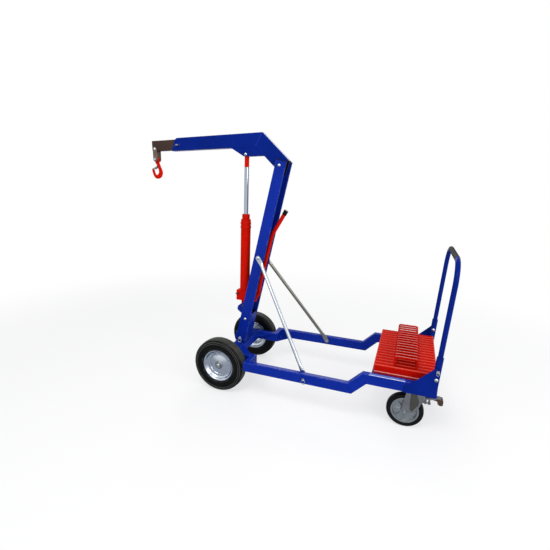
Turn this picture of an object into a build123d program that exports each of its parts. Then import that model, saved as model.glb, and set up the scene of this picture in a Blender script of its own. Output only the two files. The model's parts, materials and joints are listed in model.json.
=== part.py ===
"""Mini crane: wheeled counterbalance crane with a hand-pumped ram, as separate pieces in one frame.

Millimetres. X runs rearward to the push handle, Y to the operator's right, Z up from the floor.
The origin is the floor point under the middle of the front axle.
"""

import os
from math import atan2, cos, degrees, hypot, radians, sin

from build123d import *

os.makedirs("parts", exist_ok=True)

SIDES = (("left", -1), ("right", 1))

# Fits
RUNNING_CLEARANCE = 0.05
SLIDING_CLEARANCE = 0.5
FACE_GAP = 0.4

# Front wheels and axle
WHEEL_RADIUS = 200.0
WHEEL_WIDTH = 100.0
WHEEL_OFFSET = 320.0
RIM_RADIUS = 120.0
RIM_HALF_WIDTH = 41.0
BEAD_RADIUS = 114.0
BEAD_HALF_WIDTH = 38.0
WELL_RADIUS = 100.0
RIM_SHEET = 3.0
DISC_OFFSET = 12.0
DISC_SHEET = 4.0
DISC_CONE = 10.0
DISC_CONE_RADIUS = 77.0
TREAD_GROOVE_DEPTH = 6.0
TREAD_GROOVE_WIDTH = 5.0
HUB_RADIUS = 31.0
HUB_OUTER = 30.0
HUB_INNER = 48.0
RIM_BOLTS = 6
RIM_BOLT_CIRCLE = 87.0
RIM_BOLT_RADIUS = 4.0
AXLE_RADIUS = 12.5
AXLE_COLLAR_RADIUS = 20.0
AXLE_END = 356.0
AXLE_CAP_RADIUS = 15.0
AXLE_CAP_LENGTH = 6.0

# Base frame
RAIL_HEIGHT = 70.0
RAIL_WIDTH = 40.0
RAIL_WALL = 4.0
RAIL_OFFSET = 350.0
RAIL_OVER_AXLE = 4.0
RAIL_BOTTOM = WHEEL_RADIUS + RAIL_OVER_AXLE
RAIL_RISE = 90.0
RAIL_KINK = 967.0
RAIL_END = 1474.0
STUB_OFFSET = 232.0
JOG_FRONT = 210.0
JOG_REAR = 250.0
CORNER_PLATE = 6.0
CORNER_REACH = 90.0
BEAM_FRONT = -12.0
BEAM_REAR = 88.0
BEAM_DEPTH = BEAM_REAR - BEAM_FRONT
BEAM_HEIGHT = 60.0
BEAM_WALL = 5.0
RAIL_TOP = RAIL_BOTTOM + RAIL_HEIGHT
DECK_Z = RAIL_BOTTOM + RAIL_RISE
AXLE_PLATE = 8.0
AXLE_PLATE_RADIUS = 30.0

# Mast and post
MAST_LEAN = 12.9
MAST_X = -2.2
MAST_FOOT_RISE = 26.0
MAST_Z = RAIL_TOP + MAST_FOOT_RISE
MAST_WIDTH = 130.0
MAST_DEPTH = 82.0
MAST_WALL = 6.0
MAST_TOP = 1422.0
MAST_NOTCH = 1336.0
MAST_BOLT_AT = (42.0, 193.0)
MAST_PIN_AT = (35.0, 23.0)
MAST_ROD_AT = (36.5, 702.0)
WINDOW_BOTTOM = 238.0
WINDOW_STEP = 308.0
WINDOW_TOP = 462.0
WINDOW_WIDTH = 92.0
FOOT_DOUBLER = 8.0
FOOT_DOUBLER_HEIGHT = 62.0
POST_WALL = 5.0
POST_TOP = 246.0
POST_SIDE_GAP = 0.5
MAST_BOLT_RADIUS = 8.0
DOME_RADIUS = 12.5
DOME_HEIGHT = 8.0
NUT_HEIGHT = 10.0
LOCK_PIN_RADIUS = 6.0
PIN_HEAD_RADIUS = 10.0
PIN_HEAD_LENGTH = 8.0
PULL_RING_RADIUS = 15.0
SMALL_RING_RADIUS = 8.0
PULL_RING_WIRE = 1.5

# Boom
PIVOT_X = 340.0
PIVOT_Z = MAST_Z + 1342.0
BOOM_Z = MAST_Z + 1515.0
BOOM_TILT = 1.6
BOOM_HEIGHT = 95.0
BOOM_WIDTH = 54.0
BOOM_WALL = 6.0
BOOM_FRONT = -530.0
BOOM_FRONT_SLANT = 39.0
BOOM_FRONT_CHAMFER = 12.0
BOOM_ELBOW = 197.0
BOOM_SLOPE = 45.0
BOOM_SLOPE_HEIGHT = 106.0
BOOM_SLOPE_LENGTH = 280.0
PIVOT_TUBE_RADIUS = 18.0
GUSSET_FRONT = -54.0
GUSSET_LOW_FRONT = 48.0
GUSSET_DROP = 110.0
CLAMP_SCREW_AT = (-509.0, -5.0)
CLAMP_SCREW_RADIUS = 4.5
CLAMP_NUT_LENGTH = 7.0
CLAMP_HEAD_LENGTH = 9.0

# Extension, link and hook
EXTENSION_TIP = -756.0
EXTENSION_LENGTH = 700.0
EXTENSION_WALL = 5.0
EXTENSION_PLAY = 4.0
LINK_SETBACK = 26.0
LINK_AT = (EXTENSION_TIP + LINK_SETBACK, -25.0)
LINK_LENGTH = 76.7
LINK_THICKNESS = 5.0
LINK_WIDTH = 38.0
LINK_BOLT_RADIUS = 6.0
HOOK_EYE_RADIUS = 17.0
HOOK_THICKNESS = 22.0
HOOK_BOWL_AT = (-8.0, -95.0)
HOOK_BOWL_RADIUS = 25.0
LATCH_AT = (11.0, -54.0)
LATCH_END = (-32.0, -72.0)
LATCH_PIN_RADIUS = 3.0
LATCH_SHEET = 2.0
LATCH_HALF_HEIGHT = 5.0
LATCH_BRIDGE_START = 12.0
SPRING_WIRE = 0.9
SPRING_RADIUS = 4.2
SPRING_PITCH = 2.6
SPRING_TURNS = 3.0

# Ram and pump
RAM_FOOT_X = 46.0
RAM_FOOT_Z = MAST_Z + 272.0
RAM_HEAD_X = 66.0
RAM_HEAD_Z = MAST_Z + 1421.0
RAM_EYE_RADIUS = 19.0
RAM_EYE_WIDTH = 38.0
RAM_PIN_RADIUS = 9.0
LUG_THICKNESS = 8.0
LUG_REACH = 44.0
LUG_LOW = 62.0
LUG_HIGH = 25.0
BARREL_RADIUS = 37.5
BARREL_BORE = 28.0
BARREL_BOTTOM = 128.0
BARREL_TOP = 683.0
GLAND_RADIUS = 29.0
GLAND_TOP = 722.0
COLLAR_RADIUS = 40.5
COLLAR_BOTTOM = 615.0
COLLAR_HEIGHT = 18.0
COLLAR_PITCH = 27.0
ROD_RADIUS = 16.5
PISTON_BOTTOM = 290.0
PISTON_HEIGHT = 40.0
ROD_TOP = 1060.0
ROD_END_RADIUS = 17.0
ROD_EYE_WIDTH = 36.0
BLOCK_FRONT = -57.0
BLOCK_REAR = 78.0
BLOCK_BOTTOM = 46.0
BLOCK_HALF_WIDTH = 32.0
PUMP_AT = 88.0
PUMP_RADIUS = 17.0
PUMP_BOTTOM = 44.0
PUMP_TOP = 92.0
PLUNGER_AT = 90.0
PLUNGER_RADIUS = 7.0
PLUNGER_BOTTOM = 58.0
PLUNGER_TOP = 112.0
PLUNGER_HEAD_RADIUS = 8.0
PLUNGER_HEAD_HEIGHT = 15.0
LEVER_AT = (118.0, 104.0)
LEVER_PIN_RADIUS = 5.0
LEVER_EYE_RADIUS = 10.5
LEVER_CHEEK_INNER = 9.0
LEVER_CHEEK = 5.0
LEVER_SOCKET_TOP = 150.0
EAR_FOOT = (98.0, 70.0)
EAR_THICKNESS = 6.0
LEVER_RADIUS = 14.5
LEVER_PATH = ((119.0, 122.0), (136.0, 222.0), (174.0, 398.0), (217.0, 580.0), (321.0, 764.0))
LEVER_BEND_RADIUS = 60.0
LEVER_GRIP_LENGTH = 34.0
LEVER_GRIP_WALL = 2.0
VALVE_AT = (-48.0, 100.0)
VALVE_RADIUS = 7.0
VALVE_LENGTH = 12.0
VALVE_STEM_RADIUS = 4.0
VALVE_STEM_LENGTH = 15.0
VALVE_BAR = 26.0
VALVE_BAR_WIDTH = 6.0

# Tie rods
TIE_LOW_X = 660.0
TIE_RADIUS = 12.5
TIE_TAB_WIDTH = 36.0
TIE_TAB_SHEET = 6.0
TIE_TAB_LENGTH = 34.0
TIE_NECK = 48.0
TIE_BOLT_RADIUS = 6.0

# Counterweights, tray and casters
WEIGHTS = 15
WEIGHT_PITCH = 42.6
WEIGHT_THICKNESS = 41.0
WEIGHT_FRONT = 1102.0
WEIGHT_REAR = 1474.0
WEIGHT_HEIGHT = 120.0
LOOP_FRONT = 1220.0
LOOP_REAR = 1361.0
LOOP_RISE = 70.0
LOOP_WIDTH = 14.0
LOOP_BAR = 13.0
LOOP_SILL = 8.0
LOOP_CORNER = 16.0
TRAY_SHEET = 6.0
TRAY_FRONT = 1092.0
TRAY_LIP = 40.0
CASTER_X = 1385.0
CASTER_OFFSET = 259.0
CASTER_TRAIL = 70.0
CASTER_RADIUS = 115.0
CASTER_WIDTH = 48.0
CASTER_RIM_RADIUS = 87.0
CASTER_RIM_RING = 12.0
CASTER_HUB_RADIUS = 26.0
CASTER_WEB = 8.0
CASTER_RIBS = 8
CASTER_RIB = 8.0
CASTER_AXLE_RADIUS = 7.0
TOP_PLATE = 10.0
TOP_PLATE_LENGTH = 110.0
TOP_PLATE_WIDTH = 104.0
RACE_RADIUS = 36.0
RACE_HEIGHT = 9.0
KING_RADIUS = 9.0
LOWER_RACE = 12.6
CROWN_SHEET = 8.0
LEG_GAP = 4.0
LEG_SHEET = 5.0
LEG_FOOT_RADIUS = 20.0
LEG_RIB = 12.0
LEG_RIB_HEIGHT = 3.0
CROWN_REACH = 40.0
BRAKE_X = 1418.0
BRAKE_DROP = 40.0
BRAKE_SHOE_RADIUS = 9.5
BRAKE_SHOE_AT = (97.0, 83.0)
BRAKE_ARM = (66.0, 9.0)
PEDAL_TOP = (90.0, 11.0)
PEDAL_LOW = (91.0, -15.0)
PEDAL_RADIUS = 10.0
BRAKE_SCREW_RADIUS = 5.0
BRAKE_SCREW_LENGTH = 24.0
BRAKE_SCREWS = (16.0, 34.0)
BRAKE_PIN_RADIUS = 5.0
BRAKE_WIDTH = 34.0
BRAKE_EAR = 4.0
BRAKE_BOSS_RADIUS = 10.0
BRAKE_ARM_HALF = 5.0

# Push handle
HANDLE_X = 1466.0
HANDLE_RISE = 116.0
HANDLE_Z = DECK_Z + HANDLE_RISE
HANDLE_LEAN = 3.3
HANDLE_OFFSET = 349.0
HANDLE_RADIUS = 15.0
HANDLE_WALL = 2.5
HANDLE_HEIGHT = 701.0
HANDLE_BEND = 140.0
SLEEVE_RADIUS = 19.7
SLEEVE_BOTTOM = -34.0
SLEEVE_TOP = 136.0
HANDLE_PIN_RISE = 56.0
GRIP_WALL = 3.5
GRIP_LENGTH = 412.0
BRACKET_SHEET = 6.0
BRACKET_REACH = 184.0
BRACKET_RISE = 72.0
HANDLE_BOLT_RADIUS = 6.0
THIN_NUT = 5.0


def side_plane(y: float, x: float = 0.0, z: float = 0.0, lean: float = 0.0) -> Plane:
    """Upright plane across Y: its sketch runs rearward and up, leaned back by lean degrees."""
    a = radians(lean)
    return Plane(origin=(x, y, z), x_dir=(cos(a), 0, -sin(a)), z_dir=(0, -1, 0))


def mast_plane(y: float) -> Plane:
    """Side plane along the mast: depth behind its front face, height along it."""
    return side_plane(y, MAST_X, MAST_Z, MAST_LEAN)


def boom_plane(y: float) -> Plane:
    """Side plane along the boom: distance along it, height above its middle."""
    return side_plane(y, 0.0, BOOM_Z, -BOOM_TILT)


RAM_LEAN = degrees(atan2(RAM_HEAD_X - RAM_FOOT_X, RAM_HEAD_Z - RAM_FOOT_Z))
RAM_SPAN = hypot(RAM_HEAD_X - RAM_FOOT_X, RAM_HEAD_Z - RAM_FOOT_Z)


def ram_plane(y: float) -> Plane:
    """Side plane along the ram, from its foot pin."""
    return side_plane(y, RAM_FOOT_X, RAM_FOOT_Z, RAM_LEAN)


def handle_plane(y: float) -> Plane:
    """Side plane along the push handle, from its pivot."""
    return side_plane(y, HANDLE_X, HANDLE_Z, HANDLE_LEAN)


def wheel_plane(x: float, y: float, z: float) -> Plane:
    """Plane through a wheel's axis: sketch runs along Y and outward from the axis."""
    return Plane(origin=(x, y, z), x_dir=(0, 1, 0), z_dir=(1, 0, 0))


def spot(plane: Plane, a: float, b: float) -> Vector:
    """World point at sketch coordinates a, b of a plane."""
    return plane.from_local_coords((a, b, 0))


def outline(points) -> None:
    """Closed straight-sided face in the sketch being drawn."""
    Polygon(*points, align=None)


def slot_outline(start, end, radius: float) -> None:
    """Bar with round ends between two sketch points."""
    length = hypot(end[0] - start[0], end[1] - start[1])
    turn = degrees(atan2(end[1] - start[1], end[0] - start[0]))
    middle = ((start[0] + end[0]) / 2, (start[1] + end[1]) / 2)
    with Locations(Location(middle, turn)):
        SlotCenterToCenter(length, 2 * radius)


def band(points, height: float):
    """Outline of a mitred bar of the given height around a bent centre line."""
    upper = []
    lower = []
    for i, (x, z) in enumerate(points):
        before = points[max(i - 1, 0)]
        after = points[min(i + 1, len(points) - 1)]
        first = atan2(z - before[1], x - before[0]) if i > 0 else None
        second = atan2(after[1] - z, after[0] - x) if i < len(points) - 1 else None
        first = second if first is None else first
        second = first if second is None else second
        turn = (first + second) / 2
        reach = height / 2 / cos((second - first) / 2)
        upper.append((x - reach * sin(turn), z + reach * cos(turn)))
        lower.append((x + reach * sin(turn), z - reach * cos(turn)))
    return upper + lower[::-1]


def mirrored(points, side: int):
    """Plan points thrown to the given side."""
    return [(x, y * side) for x, y in points]


def dome(plane: Plane, radius: float, height: float) -> None:
    """Low dome standing on a plane in the part being built."""
    ball = (radius * radius + height * height) / (2 * height)
    profile = Plane(origin=plane.origin, x_dir=plane.x_dir, z_dir=-plane.y_dir)
    with BuildSketch(profile) as section:
        with BuildLine():
            Line((0, 0), (radius, 0))
            RadiusArc((radius, 0), (0, height), -ball)
            Line((0, height), (0, 0))
        make_face()
    revolve(section.sketch, axis=Axis(plane.origin, plane.z_dir))


def across(point, side: int) -> Plane:
    """Plane at a point, facing out to the given side."""
    return Plane(origin=point, x_dir=(1, 0, 0), z_dir=(0, side, 0))


def shaft(plane: Plane, radius: float, length: float) -> None:
    """Round bar standing on a plane in the part being built."""
    with BuildSketch(plane) as section:
        Circle(radius)
    extrude(section.sketch, amount=length)


def hexagon(plane: Plane, radius: float, length: float) -> None:
    """Hexagonal bar standing on a plane in the part being built."""
    with BuildSketch(plane) as section:
        RegularPolygon(radius, 6)
    extrude(section.sketch, amount=length)


def pull_ring(point, side: int, radius: float) -> None:
    """Wire ring hanging below a pin head."""
    centre = Vector(point) - Vector(0, 0, radius)
    ring = Plane(origin=centre, x_dir=(1, 0, 0), z_dir=(0, side, 0))
    cut = Plane(origin=centre, x_dir=(1, 0, 0), z_dir=(0, 0, 1))
    with BuildSketch(cut) as section:
        with Locations((radius, 0)):
            Circle(PULL_RING_WIRE)
    revolve(section.sketch, axis=Axis(ring.origin, ring.z_dir))


# Base frame

RAIL_MIDDLE = RAIL_BOTTOM + RAIL_HEIGHT / 2
RAIL_LINE = (
    (JOG_FRONT, RAIL_MIDDLE),
    (RAIL_KINK, RAIL_MIDDLE),
    (RAIL_KINK + RAIL_RISE, RAIL_MIDDLE + RAIL_RISE),
    (RAIL_END, RAIL_MIDDLE + RAIL_RISE),
)
RAIL_CORE = ((JOG_FRONT + RAIL_WALL, RAIL_MIDDLE),) + RAIL_LINE[1:]
STUB_INNER = STUB_OFFSET - RAIL_WIDTH / 2
STUB_OUTER = STUB_OFFSET + RAIL_WIDTH / 2
RAIL_INNER = RAIL_OFFSET - RAIL_WIDTH / 2
RAIL_OUTER = RAIL_OFFSET + RAIL_WIDTH / 2

for name, side in SIDES:
    with BuildPart() as rail:
        with BuildSketch(side_plane(side * RAIL_OFFSET)):
            outline(band(RAIL_LINE, RAIL_HEIGHT))
        extrude(amount=RAIL_WIDTH / 2, both=True)
        with BuildSketch(Plane.XY.offset(RAIL_BOTTOM)):
            outline(
                mirrored(
                    [
                        (BEAM_FRONT, STUB_INNER),
                        (JOG_REAR, STUB_INNER),
                        (JOG_REAR, RAIL_OUTER),
                        (JOG_FRONT, RAIL_OUTER),
                        (JOG_FRONT, STUB_OUTER),
                        (BEAM_FRONT, STUB_OUTER),
                    ],
                    side,
                )
            )
        extrude(amount=RAIL_HEIGHT)
        with BuildSketch(Plane.XY.offset(RAIL_BOTTOM)):
            outline(
                mirrored(
                    [
                        (JOG_REAR - 1, STUB_INNER),
                        (JOG_REAR + CORNER_REACH, RAIL_INNER),
                        (JOG_REAR + CORNER_REACH, RAIL_INNER + 1),
                        (JOG_REAR - 1, RAIL_INNER + 1),
                    ],
                    side,
                )
            )
        extrude(amount=CORNER_PLATE)
        with BuildSketch(side_plane(side * STUB_OUTER)):
            outline(
                [
                    (BEAM_FRONT, RAIL_TOP),
                    (BEAM_REAR, RAIL_TOP),
                    (AXLE_PLATE_RADIUS, WHEEL_RADIUS - AXLE_PLATE_RADIUS),
                    (-AXLE_PLATE_RADIUS, WHEEL_RADIUS - AXLE_PLATE_RADIUS),
                    (-AXLE_PLATE_RADIUS, WHEEL_RADIUS + AXLE_PLATE_RADIUS),
                ]
            )
        extrude(amount=-side * AXLE_PLATE)
        with BuildSketch(side_plane(side * RAIL_OFFSET)):
            outline(band(RAIL_CORE, RAIL_HEIGHT - 2 * RAIL_WALL))
        extrude(amount=RAIL_WIDTH / 2 - RAIL_WALL, both=True, mode=Mode.SUBTRACT)
        with BuildSketch(Plane.XY.offset(RAIL_BOTTOM + RAIL_WALL)):
            outline(
                mirrored(
                    [
                        (BEAM_FRONT + RAIL_WALL, STUB_INNER + RAIL_WALL),
                        (JOG_REAR - RAIL_WALL, STUB_INNER + RAIL_WALL),
                        (JOG_REAR - RAIL_WALL, RAIL_OFFSET),
                        (JOG_FRONT + RAIL_WALL, RAIL_OFFSET),
                        (JOG_FRONT + RAIL_WALL, STUB_OUTER - RAIL_WALL),
                        (BEAM_FRONT + RAIL_WALL, STUB_OUTER - RAIL_WALL),
                    ],
                    side,
                )
            )
        extrude(amount=RAIL_HEIGHT - 2 * RAIL_WALL, mode=Mode.SUBTRACT)
        with BuildSketch(side_plane(side * STUB_OUTER)):
            with Locations((0, WHEEL_RADIUS)):
                Circle(AXLE_RADIUS + RUNNING_CLEARANCE)
        extrude(amount=2 * RAIL_WIDTH, both=True, mode=Mode.SUBTRACT)
        with BuildSketch(side_plane(side * RAIL_OFFSET)):
            with Locations((TIE_LOW_X, RAIL_MIDDLE)):
                Circle(TIE_BOLT_RADIUS + RUNNING_CLEARANCE)
        extrude(amount=RAIL_WIDTH, both=True, mode=Mode.SUBTRACT)
    rail.part.label = f"{name}_side_rail"
    export_step(rail.part, f"parts/{name}_side_rail.step")

with BuildPart() as front_crossbeam:
    with BuildSketch(side_plane(0)):
        with Locations(((BEAM_FRONT + BEAM_REAR) / 2, RAIL_TOP - BEAM_HEIGHT / 2)):
            Rectangle(BEAM_DEPTH, BEAM_HEIGHT)
            Rectangle(BEAM_DEPTH - 2 * BEAM_WALL, BEAM_HEIGHT - 2 * BEAM_WALL, mode=Mode.SUBTRACT)
    extrude(amount=STUB_INNER, both=True)
front_crossbeam.part.label = "front_crossbeam"
export_step(front_crossbeam.part, "parts/front_crossbeam.step")

COLLAR_IN = STUB_OUTER + AXLE_PLATE
COLLAR_OUT = WHEEL_OFFSET - HUB_INNER - FACE_GAP

with BuildPart() as front_axle:
    shaft(across((0, -AXLE_END, WHEEL_RADIUS), 1), AXLE_RADIUS, 2 * AXLE_END)
    for name, side in SIDES:
        shaft(across((0, side * COLLAR_IN, WHEEL_RADIUS), side), AXLE_COLLAR_RADIUS, COLLAR_OUT - COLLAR_IN)
front_axle.part.label = "front_axle"
export_step(front_axle.part, "parts/front_axle.step")

HUB_FACE = WHEEL_OFFSET + HUB_OUTER + FACE_GAP

with BuildPart() as axle_caps:
    for name, side in SIDES:
        shaft(across((0, side * HUB_FACE, WHEEL_RADIUS), side), AXLE_CAP_RADIUS, AXLE_CAP_LENGTH)
        crown = across((0, side * (HUB_FACE + AXLE_CAP_LENGTH), WHEEL_RADIUS), side)
        dome(crown, AXLE_CAP_RADIUS, AXLE_CAP_LENGTH)
    with BuildSketch(side_plane(0)):
        with Locations((0, WHEEL_RADIUS)):
            Circle(AXLE_RADIUS + RUNNING_CLEARANCE)
    extrude(amount=AXLE_END, both=True, mode=Mode.SUBTRACT)
axle_caps.part.label = "axle_caps"
export_step(axle_caps.part, "parts/axle_caps.step")

# Front wheels

GROOVE_FLOOR = WHEEL_RADIUS - TREAD_GROOVE_DEPTH
TYRE_HALF = WHEEL_WIDTH / 2


def flank(share: float) -> float:
    """Radius at a share of the tyre's side wall, from the rim edge to the tread."""
    return RIM_RADIUS + share * (WHEEL_RADIUS - RIM_RADIUS)


TYRE_FLANK = (
    (BEAD_HALF_WIDTH, BEAD_RADIUS),
    (BEAD_HALF_WIDTH, RIM_RADIUS + 1),
    (TYRE_HALF - 4, flank(0.11)),
    (TYRE_HALF, flank(0.38)),
    (TYRE_HALF - 1, flank(0.65)),
    (TYRE_HALF - 8, flank(0.86)),
    (TYRE_HALF - 17, WHEEL_RADIUS - 3),
)
TYRE_LINER = (
    (BEAD_HALF_WIDTH - 10, BEAD_RADIUS),
    (BEAD_HALF_WIDTH, flank(0.14)),
    (TYRE_HALF - 8, flank(0.38)),
    (TYRE_HALF - 11, flank(0.65)),
    (TYRE_HALF - 21, flank(0.81)),
)


def groove(at: float):
    """Section points of one tread groove, from its inner to its outer edge."""
    half = TREAD_GROOVE_WIDTH / 2
    edge = WHEEL_RADIUS
    return [(at - half, edge), (at - half, GROOVE_FLOOR), (at + half, GROOVE_FLOOR), (at + half, edge)]


TREAD = groove(8.0) + groove(24.0)

for name, side in SIDES:
    axis = Axis((0, side * WHEEL_OFFSET, WHEEL_RADIUS), (0, 1, 0))
    section = wheel_plane(0, side * WHEEL_OFFSET, WHEEL_RADIUS)
    with BuildPart() as tyre:
        with BuildSketch(section):
            right = list(TYRE_FLANK) + TREAD[::-1]
            left = [(-t, r) for t, r in right[::-1]]
            inner_left = [(-t, r) for t, r in TYRE_LINER]
            inner_right = list(TYRE_LINER[::-1])
            outline(right + left + inner_left + inner_right)
        revolve(axis=axis)
    tyre.part.label = f"{name}_front_tyre"
    export_step(tyre.part, f"parts/{name}_front_tyre.step")

    with BuildPart() as rim:
        with BuildSketch(section):
            shell = (
                (RIM_HALF_WIDTH, RIM_RADIUS),
                (BEAD_HALF_WIDTH, RIM_RADIUS),
                (BEAD_HALF_WIDTH, BEAD_RADIUS),
                (BEAD_HALF_WIDTH - 12, BEAD_RADIUS),
                (BEAD_HALF_WIDTH - 18, WELL_RADIUS),
            )
            lining = (
                (BEAD_HALF_WIDTH - 20, WELL_RADIUS - RIM_SHEET),
                (BEAD_HALF_WIDTH - 14, BEAD_RADIUS - RIM_SHEET),
                (RIM_HALF_WIDTH, BEAD_RADIUS - RIM_SHEET),
            )
            left_shell = [(-t, r) for t, r in shell[::-1]]
            left_lining = [(-t, r) for t, r in lining[::-1]]
            outline(list(shell) + left_shell + left_lining + list(lining))
        revolve(axis=axis)
        with BuildSketch(section):
            disc_in = side * DISC_OFFSET
            disc_out = side * (DISC_OFFSET + DISC_SHEET)
            cone_in = side * (DISC_OFFSET + DISC_CONE)
            cone_out = side * (DISC_OFFSET + DISC_CONE + DISC_SHEET)
            outline(
                [
                    (cone_in, HUB_RADIUS),
                    (disc_in, DISC_CONE_RADIUS),
                    (disc_in, WELL_RADIUS - 1),
                    (disc_out, WELL_RADIUS - 1),
                    (disc_out, DISC_CONE_RADIUS),
                    (cone_out, HUB_RADIUS),
                ]
            )
        revolve(axis=axis)
        with BuildSketch(side_plane(0, 0, WHEEL_RADIUS)):
            with PolarLocations(RIM_BOLT_CIRCLE, RIM_BOLTS, start_angle=90):
                Circle(RIM_BOLT_RADIUS + RUNNING_CLEARANCE)
        extrude(amount=-side * 2 * WHEEL_OFFSET, mode=Mode.SUBTRACT)
    rim.part.label = f"{name}_front_rim"
    export_step(rim.part, f"parts/{name}_front_rim.step")

    with BuildPart() as hub:
        shaft(
            across((0, side * (WHEEL_OFFSET - HUB_INNER), WHEEL_RADIUS), side),
            HUB_RADIUS,
            HUB_INNER + HUB_OUTER,
        )
        with BuildSketch(side_plane(0)):
            with Locations((0, WHEEL_RADIUS)):
                Circle(AXLE_RADIUS + RUNNING_CLEARANCE)
        extrude(amount=-side * 2 * WHEEL_OFFSET, mode=Mode.SUBTRACT)
    hub.part.label = f"{name}_front_hub"
    export_step(hub.part, f"parts/{name}_front_hub.step")

    with BuildPart() as rim_bolts:
        face_out = side * (WHEEL_OFFSET + DISC_OFFSET + DISC_SHEET)
        face_in = side * (WHEEL_OFFSET + DISC_OFFSET)
        with BuildSketch(side_plane(face_out, 0, WHEEL_RADIUS)):
            with PolarLocations(RIM_BOLT_CIRCLE, RIM_BOLTS, start_angle=90):
                RegularPolygon(1.7 * RIM_BOLT_RADIUS, 6)
        extrude(amount=-side * RIM_BOLT_RADIUS)
        with BuildSketch(side_plane(face_in, 0, WHEEL_RADIUS)):
            with PolarLocations(RIM_BOLT_CIRCLE, RIM_BOLTS, start_angle=90):
                RegularPolygon(1.7 * RIM_BOLT_RADIUS, 6)
        extrude(amount=side * RIM_BOLT_RADIUS)
        with BuildSketch(side_plane(face_in, 0, WHEEL_RADIUS)):
            with PolarLocations(RIM_BOLT_CIRCLE, RIM_BOLTS, start_angle=90):
                Circle(RIM_BOLT_RADIUS)
        extrude(amount=-side * DISC_SHEET)
    rim_bolts.part.label = f"{name}_rim_bolts"
    export_step(rim_bolts.part, f"parts/{name}_rim_bolts.step")

# Mast

MAST_HALF = MAST_WIDTH / 2
MAST_INNER = MAST_HALF - MAST_WALL
LUG_INNER = RAM_EYE_WIDTH / 2 + FACE_GAP
LUG_OUTER = LUG_INNER + LUG_THICKNESS
FOOT_SPOT = mast_plane(0).to_local_coords(Vector(RAM_FOOT_X, 0, RAM_FOOT_Z))
LUG_TIP = FOOT_SPOT.X - LUG_REACH
LUG_OUTLINE = (
    (1, FOOT_SPOT.Y - LUG_LOW - 2),
    (FOOT_SPOT.X - 7, FOOT_SPOT.Y - LUG_LOW),
    (LUG_TIP + 6, FOOT_SPOT.Y - LUG_LOW + 14),
    (LUG_TIP, FOOT_SPOT.Y - LUG_LOW + 26),
    (LUG_TIP + 2, FOOT_SPOT.Y - LUG_HIGH / 2),
    (FOOT_SPOT.X - 14, FOOT_SPOT.Y + LUG_HIGH - 3),
    (1, FOOT_SPOT.Y + LUG_HIGH + 3),
)
MAST_SECTION = Plane(origin=spot(mast_plane(0), 0, 0), x_dir=mast_plane(0).x_dir, z_dir=mast_plane(0).y_dir)

with BuildPart() as mast:
    with BuildSketch(MAST_SECTION):
        with Locations((MAST_DEPTH / 2, 0)):
            Rectangle(MAST_DEPTH, MAST_WIDTH)
        with Locations((MAST_WALL + MAST_DEPTH / 2, 0)):
            Rectangle(MAST_DEPTH, 2 * MAST_INNER, mode=Mode.SUBTRACT)
    extrude(amount=MAST_TOP)
    with BuildSketch(mast_plane(0)):
        with Locations((-FOOT_DOUBLER / 2, FOOT_DOUBLER_HEIGHT / 2)):
            Rectangle(FOOT_DOUBLER, FOOT_DOUBLER_HEIGHT)
    extrude(amount=MAST_HALF, both=True)
    for name, side in SIDES:
        with BuildSketch(mast_plane(side * LUG_INNER)):
            outline(LUG_OUTLINE)
        extrude(amount=-side * LUG_THICKNESS)
    with BuildSketch(mast_plane(0)):
        with Locations((0, (MAST_NOTCH + MAST_TOP) / 2 + 1)):
            Rectangle(4 * MAST_WALL, MAST_TOP - MAST_NOTCH + 2)
    extrude(amount=MAST_INNER, both=True, mode=Mode.SUBTRACT)
    with BuildSketch(mast_plane(0)):
        with Locations((0, (WINDOW_BOTTOM + WINDOW_TOP) / 2)):
            Rectangle(4 * MAST_WALL, WINDOW_TOP - WINDOW_BOTTOM)
    extrude(amount=LUG_INNER, both=True, mode=Mode.SUBTRACT)
    with BuildSketch(mast_plane(0)):
        with Locations((0, (WINDOW_STEP + WINDOW_TOP) / 2)):
            Rectangle(4 * MAST_WALL, WINDOW_TOP - WINDOW_STEP)
    extrude(amount=WINDOW_WIDTH / 2, both=True, mode=Mode.SUBTRACT)
    with BuildSketch(mast_plane(0)):
        with Locations((FOOT_SPOT.X, FOOT_SPOT.Y)):
            Circle(RAM_PIN_RADIUS)
    extrude(amount=MAST_INNER, both=True, mode=Mode.SUBTRACT)
    with BuildSketch(side_plane(0)):
        with Locations((PIVOT_X, PIVOT_Z)):
            Circle(MAST_BOLT_RADIUS)
    extrude(amount=MAST_WIDTH, both=True, mode=Mode.SUBTRACT)
    with BuildSketch(mast_plane(0)):
        with Locations(MAST_BOLT_AT):
            Circle(MAST_BOLT_RADIUS)
        with Locations(MAST_PIN_AT):
            Circle(LOCK_PIN_RADIUS)
        with Locations(MAST_ROD_AT):
            Circle(TIE_BOLT_RADIUS)
    extrude(amount=MAST_WIDTH, both=True, mode=Mode.SUBTRACT)
mast.part.label = "mast"
export_step(mast.part, "parts/mast.step")

POST_FRONT = MAST_WALL + POST_SIDE_GAP
POST_HALF = MAST_INNER - POST_SIDE_GAP
POST_DEPTH = MAST_DEPTH - POST_FRONT

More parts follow.
